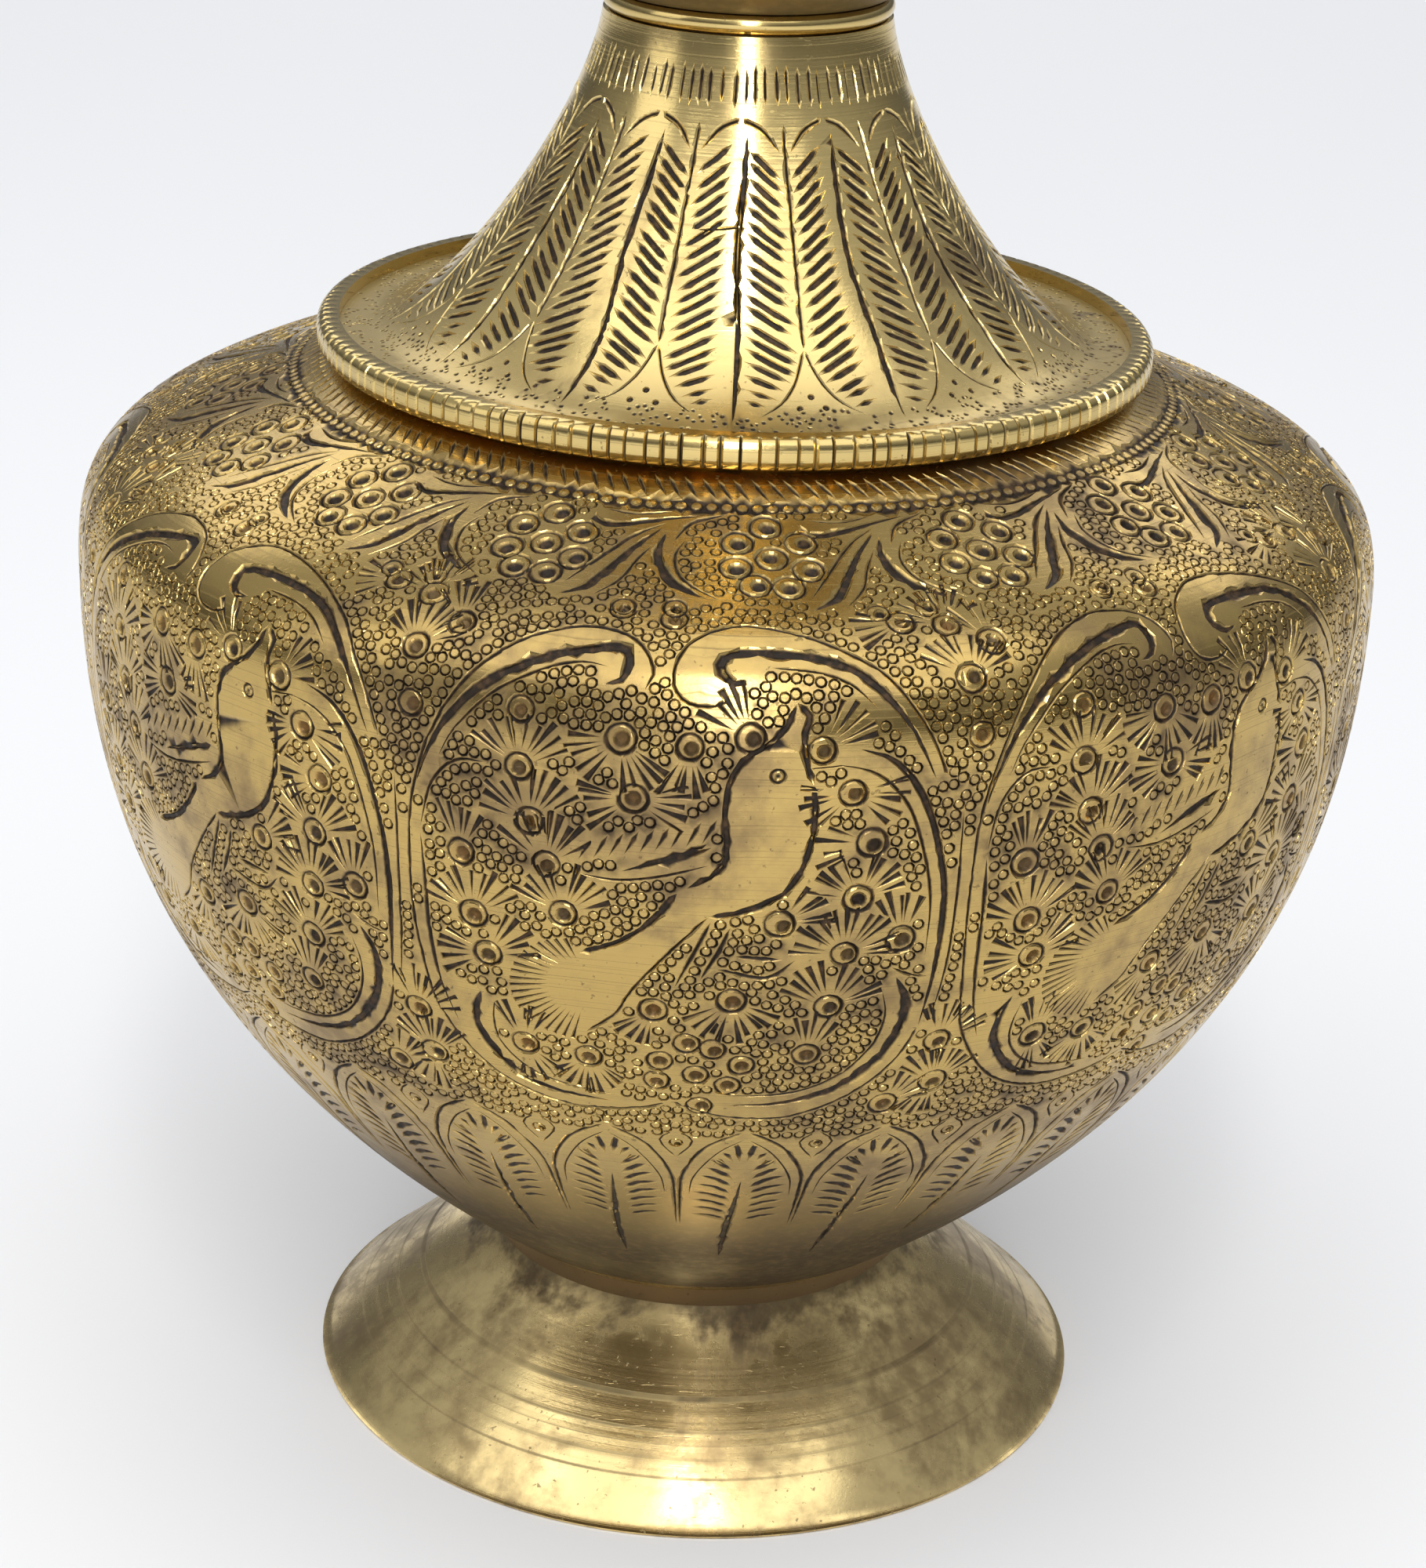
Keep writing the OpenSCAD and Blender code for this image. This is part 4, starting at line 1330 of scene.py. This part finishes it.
# %% A Geometry Nodes lathe
def new_geometry_tree(name, inputs):
    tree = bpy.data.node_groups.new(name, "GeometryNodeTree")
    tree.interface.new_socket("Geometry", in_out="INPUT", socket_type="NodeSocketGeometry")
    for label, (kind, value) in inputs.items():
        socket = tree.interface.new_socket(label, in_out="INPUT", socket_type=kind)
        if value is not None:
            socket.default_value = value
    tree.interface.new_socket("Geometry", in_out="OUTPUT", socket_type="NodeSocketGeometry")
    return tree, tree.nodes.new("NodeGroupInput"), tree.nodes.new("NodeGroupOutput")


def end_tree(wire, geometry, given, out):
    """Every tree ends as plain geometry with its finish."""
    real = wire.nodes.new("GeometryNodeRealizeInstances")
    finish = wire.nodes.new("GeometryNodeSetMaterial")
    wire.join(geometry, real.inputs["Geometry"])
    wire.join(real.outputs["Geometry"], finish.inputs["Geometry"])
    wire.join(given.outputs["Finish"], finish.inputs["Material"])
    wire.join(finish.outputs["Geometry"], out.inputs["Geometry"])


def swept(wire, path, outline, chuck_radius):
    """The outline swept along a level circle. It is drawn at its own radius, so it is moved in first."""
    to_curve = wire.nodes.new("GeometryNodeMeshToCurve")
    wire.join(outline, to_curve.inputs["Mesh"])
    shift = wire.nodes.new("ShaderNodeCombineXYZ")
    wire.join(wire.math("MULTIPLY", chuck_radius, -1.0), shift.inputs["X"])
    move = wire.nodes.new("GeometryNodeTransform")
    wire.join(to_curve.outputs["Curve"], move.inputs["Geometry"])
    wire.join(shift.outputs[0], move.inputs["Translation"])
    upright = wire.nodes.new("GeometryNodeSetCurveNormal")
    upright.mode = "Z_UP"
    wire.join(path, upright.inputs["Curve"])
    sweep = wire.nodes.new("GeometryNodeCurveToMesh")
    wire.join(upright.outputs["Curve"], sweep.inputs["Curve"])
    wire.join(move.outputs["Geometry"], sweep.inputs["Profile Curve"])
    return sweep.outputs["Mesh"]


def circle_curve(wire, count, circle_radius):
    circle = wire.nodes.new("GeometryNodeCurvePrimitiveCircle")
    wire.join(count, circle.inputs["Resolution"])
    wire.join(circle_radius, circle.inputs["Radius"])
    return circle.outputs["Curve"]


def lathe_tree():
    tree, given, out = new_geometry_tree("lathe", {
        "Facets": ("NodeSocketInt", 256),
        "Chuck Radius": ("NodeSocketFloat", body_r * MM),
        "Finish": ("NodeSocketMaterial", None),
    })
    wire = Wiring(tree)
    circle = circle_curve(wire, given.outputs["Facets"], given.outputs["Chuck Radius"])
    turned = swept(wire, circle, given.outputs["Geometry"], given.outputs["Chuck Radius"])
    weld = wire.nodes.new("GeometryNodeMergeByDistance")
    wire.join(turned, weld.inputs["Geometry"])
    weld.inputs["Distance"].default_value = 0.001 * MM
    end_tree(wire, weld.outputs["Geometry"], given, out)
    return tree


def set_input(modifier, label, value):
    for item in modifier.node_group.interface.items_tree:
        if item.item_type == "SOCKET" and item.in_out == "INPUT" and item.name == label:
            modifier[item.identifier] = value


def run_tree(name, tree, outline_points, closed, corner_degrees=32, **inputs):
    """Runs a tree on an outline and returns a plain mesh object with its faces pointing out."""
    mesh = bpy.data.meshes.new(name + "_outline")
    points = [(r * MM, -z * MM, 0.0) for r, z in outline_points]
    edges = [(i, i + 1) for i in range(len(points) - 1)]
    if closed:
        edges.append((len(points) - 1, 0))
    mesh.from_pydata(points, edges, [])
    blank = bpy.data.objects.new(name + "_blank", mesh)
    bpy.context.scene.collection.objects.link(blank)
    modifier = blank.modifiers.new(tree.name, "NODES")
    modifier.node_group = tree
    for label, value in inputs.items():
        set_input(modifier, label.replace("_", " "), value)
    depsgraph = bpy.context.evaluated_depsgraph_get()
    result = bpy.data.meshes.new_from_object(blank.evaluated_get(depsgraph))
    bpy.data.objects.remove(blank)
    result.name = name
    shell = bmesh.new()
    shell.from_mesh(result)
    bmesh.ops.recalc_face_normals(shell, faces=shell.faces)
    shell.to_mesh(result)
    shell.free()
    result.shade_smooth()
    result.set_sharp_from_angle(angle=math.radians(corner_degrees))
    piece = bpy.data.objects.new(name, result)
    bpy.context.scene.collection.objects.link(piece)
    wide, _, tall = piece.dimensions / MM
    print(f"  {name}: {len(result.polygons)} faces, {wide:.1f} mm wide, {tall:.1f} mm high")
    return piece


lathe = lathe_tree()

# %% [markdown]
# A spun sheet's outline is its outer curve and the same curve moved in by the wall, with the raw edges
# rounded a little, because a file always goes over them.

# %% Turned pieces
def inset(curve, wall):
    slope = np.gradient(curve, axis=0)
    slope /= np.hypot(slope[:, 0], slope[:, 1])[:, None]
    return curve + wall * np.column_stack([-slope[:, 1], slope[:, 0]])


def thinned(curve, count=40):
    return curve[np.round(np.linspace(0, len(curve) - 1, count)).astype(int)]


def arc(centre, r, start, end, count=8):
    angles = np.radians(np.linspace(start, end, count))
    return np.column_stack([centre[0] + r * np.cos(angles), centre[1] + r * np.sin(angles)])


def ring_outline(inner_r, outer_r, bottom, height):
    bead = height / 2
    face = arc((outer_r - bead, bottom + bead), bead, -90, 90, 12)
    return np.vstack([[(inner_r, bottom)], face, [(inner_r, bottom + height)]])


def knop_cup(name, points, finish):
    """One of the two pressed halves of the knop, from the steering points of its outer curve."""
    curve = cubic(points)
    cup_outline = np.vstack([thinned(curve), thinned(inset(curve, upper_wall))[::-1]])
    return run_tree(name, lathe, cup_outline, closed=True, Finish=finish)


foot_curve = cubic([(foot_r, 0), (foot_r - 7, 0.42 * foot_h), (waist_r + 3, 0.7 * foot_h), (waist_r, foot_h)])
foot_side = thinned(foot_curve)
foot_edge = 0.35
foot_outline = np.vstack([
    [(foot_r - foot_wall, 0), (foot_r - foot_edge, 0)],
    arc((foot_r - foot_edge, foot_edge), foot_edge, -60, 0, 4),
    foot_side[foot_side[:, 1] > 1.6 * foot_edge],
    (foot_side - (foot_wall, 0))[::-1][:-1],
])
foot = run_tree("foot", lathe, foot_outline, closed=True, Finish=foot_brass, Facets=320)

bowl_sheet_end = body_outline.run_at(body_sheet.low)
lower = bowl_curve[body_outline.run[:len(bowl_curve)] <= bowl_sheet_end]
lower_inner = inset(bowl_curve, body_wall)[:len(lower)]
bowl_floor_outline = np.vstack([
    [(0, foot_h), (waist_r + 0.5, foot_h)],
    thinned(lower, 8),
    thinned(lower_inner, 8)[::-1],
    [(waist_r + 0.5, foot_h + body_wall), (0, foot_h + body_wall)],
])
bowl_floor = run_tree("bowl_floor", lathe, bowl_floor_outline, closed=False, Finish=turned_brass)

mouth_hole_r = throat_r - 3
shoulder_flange_outline = [
    (mouth_hole_r, shoulder_top_h - body_wall), (throat_r, shoulder_top_h - body_wall),
    (throat_r, shoulder_top_h), (mouth_hole_r, shoulder_top_h),
]
shoulder_flange = run_tree("shoulder_flange", lathe, shoulder_flange_outline, closed=True,
                           Finish=turned_brass)

knop_lower = knop_cup("knop_lower", [
    (neck_top_r - 0.5, knop_bottom_h), (knop_r - 2.4, knop_bottom_h + 1.7),
    (knop_r, knop_mid_h - 5.4), (knop_r, knop_mid_h),
], knop_brass)
knop_upper = knop_cup("knop_upper", [
    (knop_r, knop_mid_h), (knop_r, knop_mid_h + 5.4),
    (knop_r - 2.6, knop_top_h - 1.7), (stem_r + 0.8, knop_top_h),
], turned_brass)

sleeve_r = neck_top_r - upper_wall - 0.4
lower_ring_outline = ring_outline(sleeve_r, neck_top_r + lower_ring_proud, neck_top_h, ring_h)
lower_ring = run_tree("ring_under_knop", lathe, lower_ring_outline, closed=True, corner_degrees=40,
                      Finish=bright_brass)
upper_ring_outline = ring_outline(stem_r - upper_wall, stem_r + upper_ring_proud, knop_top_h,
                                  stem_bottom_h - knop_top_h)
upper_ring = run_tree("ring_over_knop", lathe, upper_ring_outline, closed=True, corner_degrees=40,
                      Finish=bright_brass)
lip_half = math.degrees(math.acos(-(mouth_r - sheet_end_r) / lip_r))
lip_outline = arc((mouth_r, lip_h), lip_r, -lip_half, lip_half, 24)
lip = run_tree("lip", lathe, lip_outline, closed=True, corner_degrees=40, Finish=bright_brass)

# %% [markdown]
# The collar is a rounded hoop with 150 cuts across it, filed by hand, so no two are equally wide, deep or far
# apart. The cuts could be cut out one by one with a Boolean, which is slow and leaves poor edges. They follow
# the hoop, which makes them a job for Geometry Nodes: each cut owns four points of the circle, the two lips
# of the cut, its bottom, and the land beyond. The outline is swept along them, and the bottoms are sunk.

# %% The cut hoop
def random_between(wire, given, identity, low, high, seed_step):
    node = wire.nodes.new("FunctionNodeRandomValue")
    wire.join(low, node.inputs[2])
    wire.join(high, node.inputs[3])
    wire.join(identity, node.inputs["ID"])
    wire.join(wire.math("ADD", given.outputs["Seed"], seed_step), node.inputs["Seed"])
    return node.outputs[1]


def marked_circle(wire, given):
    """A circle whose points are bunched at the cuts. Its cut attribute is above 0 at the bottom of a cut."""
    circle = circle_curve(wire, wire.math("MULTIPLY", given.outputs["Cuts"], 4), given.outputs["Radius"])
    index = wire.nodes.new("GeometryNodeInputIndex").outputs[0]
    cut_number = wire.math("FLOOR", wire.math("DIVIDE", index, 4))
    corner = wire.math("MODULO", index, 4)

    def is_corner(number):
        test = wire.math("COMPARE", corner, number)
        test.node.inputs[2].default_value = 0.1
        return test

    is_bottom, is_land = is_corner(1), is_corner(3)
    across = random_between(wire, given, cut_number, 0.5, 1.0, 1)
    half = wire.math("MULTIPLY", wire.math("MULTIPLY", given.outputs["Cut Width"], 0.5), across)
    lip_shift = wire.math("MULTIPLY", wire.math("SUBTRACT", corner, 1.0), half)
    shift = wire.math("ADD", wire.math("MULTIPLY", wire.math("SUBTRACT", 1.0, is_land), lip_shift),
                      wire.math("MULTIPLY", is_land, 0.5))
    stray = random_between(wire, given, cut_number, -1.0, 1.0, 2)
    wobble = wire.math("MULTIPLY", stray, given.outputs["Wobble"])
    position = wire.math("ADD", wire.math("ADD", cut_number, shift), wobble)
    turn = wire.math("DIVIDE", wire.math("MULTIPLY", position, 2 * math.pi), given.outputs["Cuts"])
    place = wire.nodes.new("ShaderNodeCombineXYZ")
    wire.join(wire.math("MULTIPLY", wire.math("COSINE", turn), given.outputs["Radius"]), place.inputs["X"])
    wire.join(wire.math("MULTIPLY", wire.math("SINE", turn), given.outputs["Radius"]), place.inputs["Y"])
    spaced = wire.nodes.new("GeometryNodeSetPosition")
    wire.join(circle, spaced.inputs["Geometry"])
    wire.join(place.outputs[0], spaced.inputs["Position"])
    marked = wire.nodes.new("GeometryNodeStoreNamedAttribute")
    marked.inputs["Name"].default_value = "cut"
    wire.join(spaced.outputs["Geometry"], marked.inputs["Geometry"])
    strength = random_between(wire, given, cut_number, 0.6, 1.0, 3)
    wire.join(wire.math("MULTIPLY", is_bottom, strength), marked.inputs["Value"])
    return marked.outputs["Geometry"]


def sunk_cuts(wire, given, hoop_mesh):
    """Pushes the bottoms of the cuts in, on the outer part of the wall only, and stores their patina."""
    cut = wire.nodes.new("GeometryNodeInputNamedAttribute")
    cut.inputs["Name"].default_value = "cut"
    where = wire.nodes.new("ShaderNodeSeparateXYZ")
    wire.join(wire.nodes.new("GeometryNodeInputPosition").outputs[0], where.inputs[0])
    x, y, _ = where.outputs
    reach = wire.math("SQRT", wire.math("ADD", wire.math("MULTIPLY", x, x), wire.math("MULTIPLY", y, y)))
    inner = wire.math("SUBTRACT", given.outputs["Radius"], given.outputs["Wall"])
    outer_part = wire.math("DIVIDE", wire.math("SUBTRACT", reach, inner), given.outputs["Wall"])
    strength = wire.math("MULTIPLY", wire.ramp(outer_part, 0.25, 0.6), cut.outputs["Attribute"])
    depth = wire.math("MULTIPLY", strength, given.outputs["Cut Depth"])
    shrink = wire.math("DIVIDE", wire.math("MULTIPLY", depth, -1.0), reach)
    inward = wire.nodes.new("ShaderNodeCombineXYZ")
    wire.join(wire.math("MULTIPLY", x, shrink), inward.inputs["X"])
    wire.join(wire.math("MULTIPLY", y, shrink), inward.inputs["Y"])
    sunk = wire.nodes.new("GeometryNodeSetPosition")
    wire.join(hoop_mesh, sunk.inputs["Geometry"])
    wire.join(inward.outputs[0], sunk.inputs["Offset"])
    dark = wire.nodes.new("GeometryNodeStoreNamedAttribute")
    dark.inputs["Name"].default_value = "patina"
    wire.join(sunk.outputs["Geometry"], dark.inputs["Geometry"])
    wire.join(strength, dark.inputs["Value"])
    return dark.outputs["Geometry"]


def cut_hoop_tree():
    tree, given, out = new_geometry_tree("cut_hoop", {
        "Cuts": ("NodeSocketInt", 150),
        "Radius": ("NodeSocketFloat", hoop_r * MM),
        "Wall": ("NodeSocketFloat", 2.2 * MM),
        "Cut Width": ("NodeSocketFloat", 0.36),
        "Cut Depth": ("NodeSocketFloat", 0.45 * MM),
        "Wobble": ("NodeSocketFloat", 0.12),
        "Seed": ("NodeSocketInt", 5),
        "Finish": ("NodeSocketMaterial", None),
    })
    wire = Wiring(tree)
    circle = marked_circle(wire, given)
    plain = swept(wire, circle, given.outputs["Geometry"], given.outputs["Radius"])
    end_tree(wire, sunk_cuts(wire, given, plain), given, out)
    return tree


hoop_wall = hoop_r - flange_r
hoop_round = 1.1
hoop_low = (hoop_r - hoop_round, hoop_bottom_h + hoop_round)
hoop_high = (hoop_r - hoop_round, hoop_top_h - hoop_round)
hoop_outline = np.vstack([
    [(flange_r, hoop_bottom_h)],
    arc(hoop_low, hoop_round, -90, 0, 7),
    arc(hoop_high, hoop_round, 0, 90, 7),
    [(flange_r, hoop_top_h)],
])
hoop = run_tree("cut_hoop", cut_hoop_tree(), hoop_outline, closed=True, corner_degrees=30,
                Finish=bright_brass, Wall=hoop_wall * MM)

# %% [markdown]
# The hidden pieces, the two sleeves and the brazed seams, have the right shape already. They keep their CAD
# meshes and get their finish.

# %% Finishes for the pieces that stay
def refinish(nodes, finish):
    for node in nodes:
        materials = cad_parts[node].data.materials
        materials.clear()
        materials.append(finish)
    print(f"{finish.name} on {', '.join(nodes)}")


refinish(("neck_sleeve", "mouth_sleeve"), inner_brass)
refinish(("foot_braze", "belly_braze", "neck_braze", "knop_braze", "mouth_braze"), spelter)

# %% [markdown]
# Everything rides on the one body of the pot; the imported node that each made piece stands for is hidden,
# and the pairing is printed.

# %% Ride and replace
def stands_for(pieces, node):
    for piece in pieces:
        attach(piece, "root")
        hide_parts(node)
    print(f"{node}: {', '.join(piece.name for piece in pieces)}")


def body_tiles_of(half):
    return [tile for tile in body_tiles if tile.name.startswith(half)]


stands_for([foot], "foot_cone")
stands_for(body_tiles_of("bowl") + [bowl_floor], "bowl")
stands_for(body_tiles_of("shoulder") + [shoulder_flange], "shoulder")
stands_for([hoop], "collar_hoop")
stands_for(neck_tiles, "neck_cone")
stands_for([lower_ring], "neck_ring")
stands_for([knop_lower], "knop_lower_cup")
stands_for([knop_upper], "knop_upper_cup")
stands_for([upper_ring], "mouth_ring")
stands_for(mouth_tiles, "mouth_flare")
stands_for([lip], "lip_bead")

# %% [markdown]
# The pot stands on a pale floor. Metal shows little but what it reflects, so the lights are chosen as
# reflections: a wide soft box overhead for the shoulder, a tall narrow strip in front for the bright line
# down the neck, a faint box on the left, and one far behind that lights only the floor. The room itself is
# darker towards the horizon, which keeps the sides of the body from washing out.

# %% Floor, lights and world
floor_mesh = bpy.data.meshes.new("floor")
floor_reach = 8.0
corners = [(floor_reach * x, floor_reach * y, 0) for x, y in ((-1, -1), (1, -1), (1, 1), (-1, 1))]
floor_mesh.from_pydata(corners, [], [(0, 1, 2, 3)])
floor = bpy.data.objects.new("floor", floor_mesh)
bpy.context.scene.collection.objects.link(floor)
paper = bpy.data.materials.new("pale_paper")
paper.use_nodes = True
paper_shader = paper.node_tree.nodes["Principled BSDF"]
paper_shader.inputs["Base Color"].default_value = (0.86, 0.86, 0.87, 1)
paper_shader.inputs["Roughness"].default_value = 0.7
floor_mesh.materials.append(paper)


def soft_box(name, place, aim, size, watts):
    light = bpy.data.lights.new(name, "AREA")
    light.shape = "RECTANGLE"
    light.size, light.size_y = size
    light.energy = watts
    box = bpy.data.objects.new(name, light)
    box.location = place
    box.rotation_euler = (Vector(aim) - Vector(place)).to_track_quat("-Z", "Y").to_euler()
    bpy.context.scene.collection.objects.link(box)
    print(f"  {name}: {size[0]} x {size[1]} m, {watts} W")


pot_middle = (0.0, 0.0, 0.1)
soft_box("overhead", (0.0, -0.3, 1.05), pot_middle, (1.4, 1.2), 6.3)
soft_box("front_strip", (0.03, -0.92, 0.66), pot_middle, (0.13, 1.25), 7.2)
soft_box("left_side", (-0.85, -0.35, 0.65), pot_middle, (0.5, 0.9), 1.4)
soft_box("background", (0.0, 1.9, 1.5), (0.0, 1.9, 0.0), (3.0, 1.6), 21)
world = bpy.data.worlds.new("studio")
world.use_nodes = True
wire = Wiring(world.node_tree)
sky = wire.nodes["Background"]
upward = wire.nodes.new("ShaderNodeSeparateXYZ")
wire.join(wire.nodes.new("ShaderNodeTexCoord").outputs["Generated"], upward.inputs[0])
sky.inputs["Color"].default_value = (0.93, 0.96, 1.0, 1)
wire.join(wire.ramp(upward.outputs["Z"], 0.05, 0.65, 0.14, 0.5), sky.inputs["Strength"])
bpy.context.scene.world = world
bpy.context.scene.view_settings.view_transform = "Standard"

# %% [markdown]
# The camera looks down on the pot from close by, with a long lens, so that the foot and the neck lean in a
# little towards each other. It is rolled by two degrees, as a hand-held camera is.

# %% Camera
CAMERA_PLACE = Vector((0.0, -361.7, 214.1)) * MM
CAMERA_PITCH = math.radians(22.32)
CAMERA_YAW = math.radians(-0.06)
CAMERA_ROLL = math.radians(2.33)
LENS_MM = 86.0            # focal length, on a sensor 36 mm high
level_reach = math.cos(CAMERA_PITCH)
forward = Vector((
    math.sin(CAMERA_YAW) * level_reach,
    math.cos(CAMERA_YAW) * level_reach,
    -math.sin(CAMERA_PITCH),
))
level_right = forward.cross(Vector((0, 0, 1))).normalized()
level_up = level_right.cross(forward)
right = math.cos(CAMERA_ROLL) * level_right + math.sin(CAMERA_ROLL) * level_up
up = math.cos(CAMERA_ROLL) * level_up - math.sin(CAMERA_ROLL) * level_right
lens = bpy.data.cameras.new("camera")
lens.sensor_fit = "VERTICAL"
lens.sensor_height = 36
lens.lens = LENS_MM
lens.clip_start = 0.01
camera = bpy.data.objects.new("camera", lens)
camera.matrix_world = Matrix.Translation(CAMERA_PLACE) @ Matrix((right, up, -forward)).transposed().to_4x4()
bpy.context.scene.collection.objects.link(camera)
bpy.context.scene.camera = camera
print(f"camera {CAMERA_PLACE.length / MM:.0f} mm from the foot's centre, {LENS_MM:.0f} mm lens")

# %% [markdown]
# Last, the view layer is brought up to date.

# %% Update the view layer
bpy.context.view_layer.update()
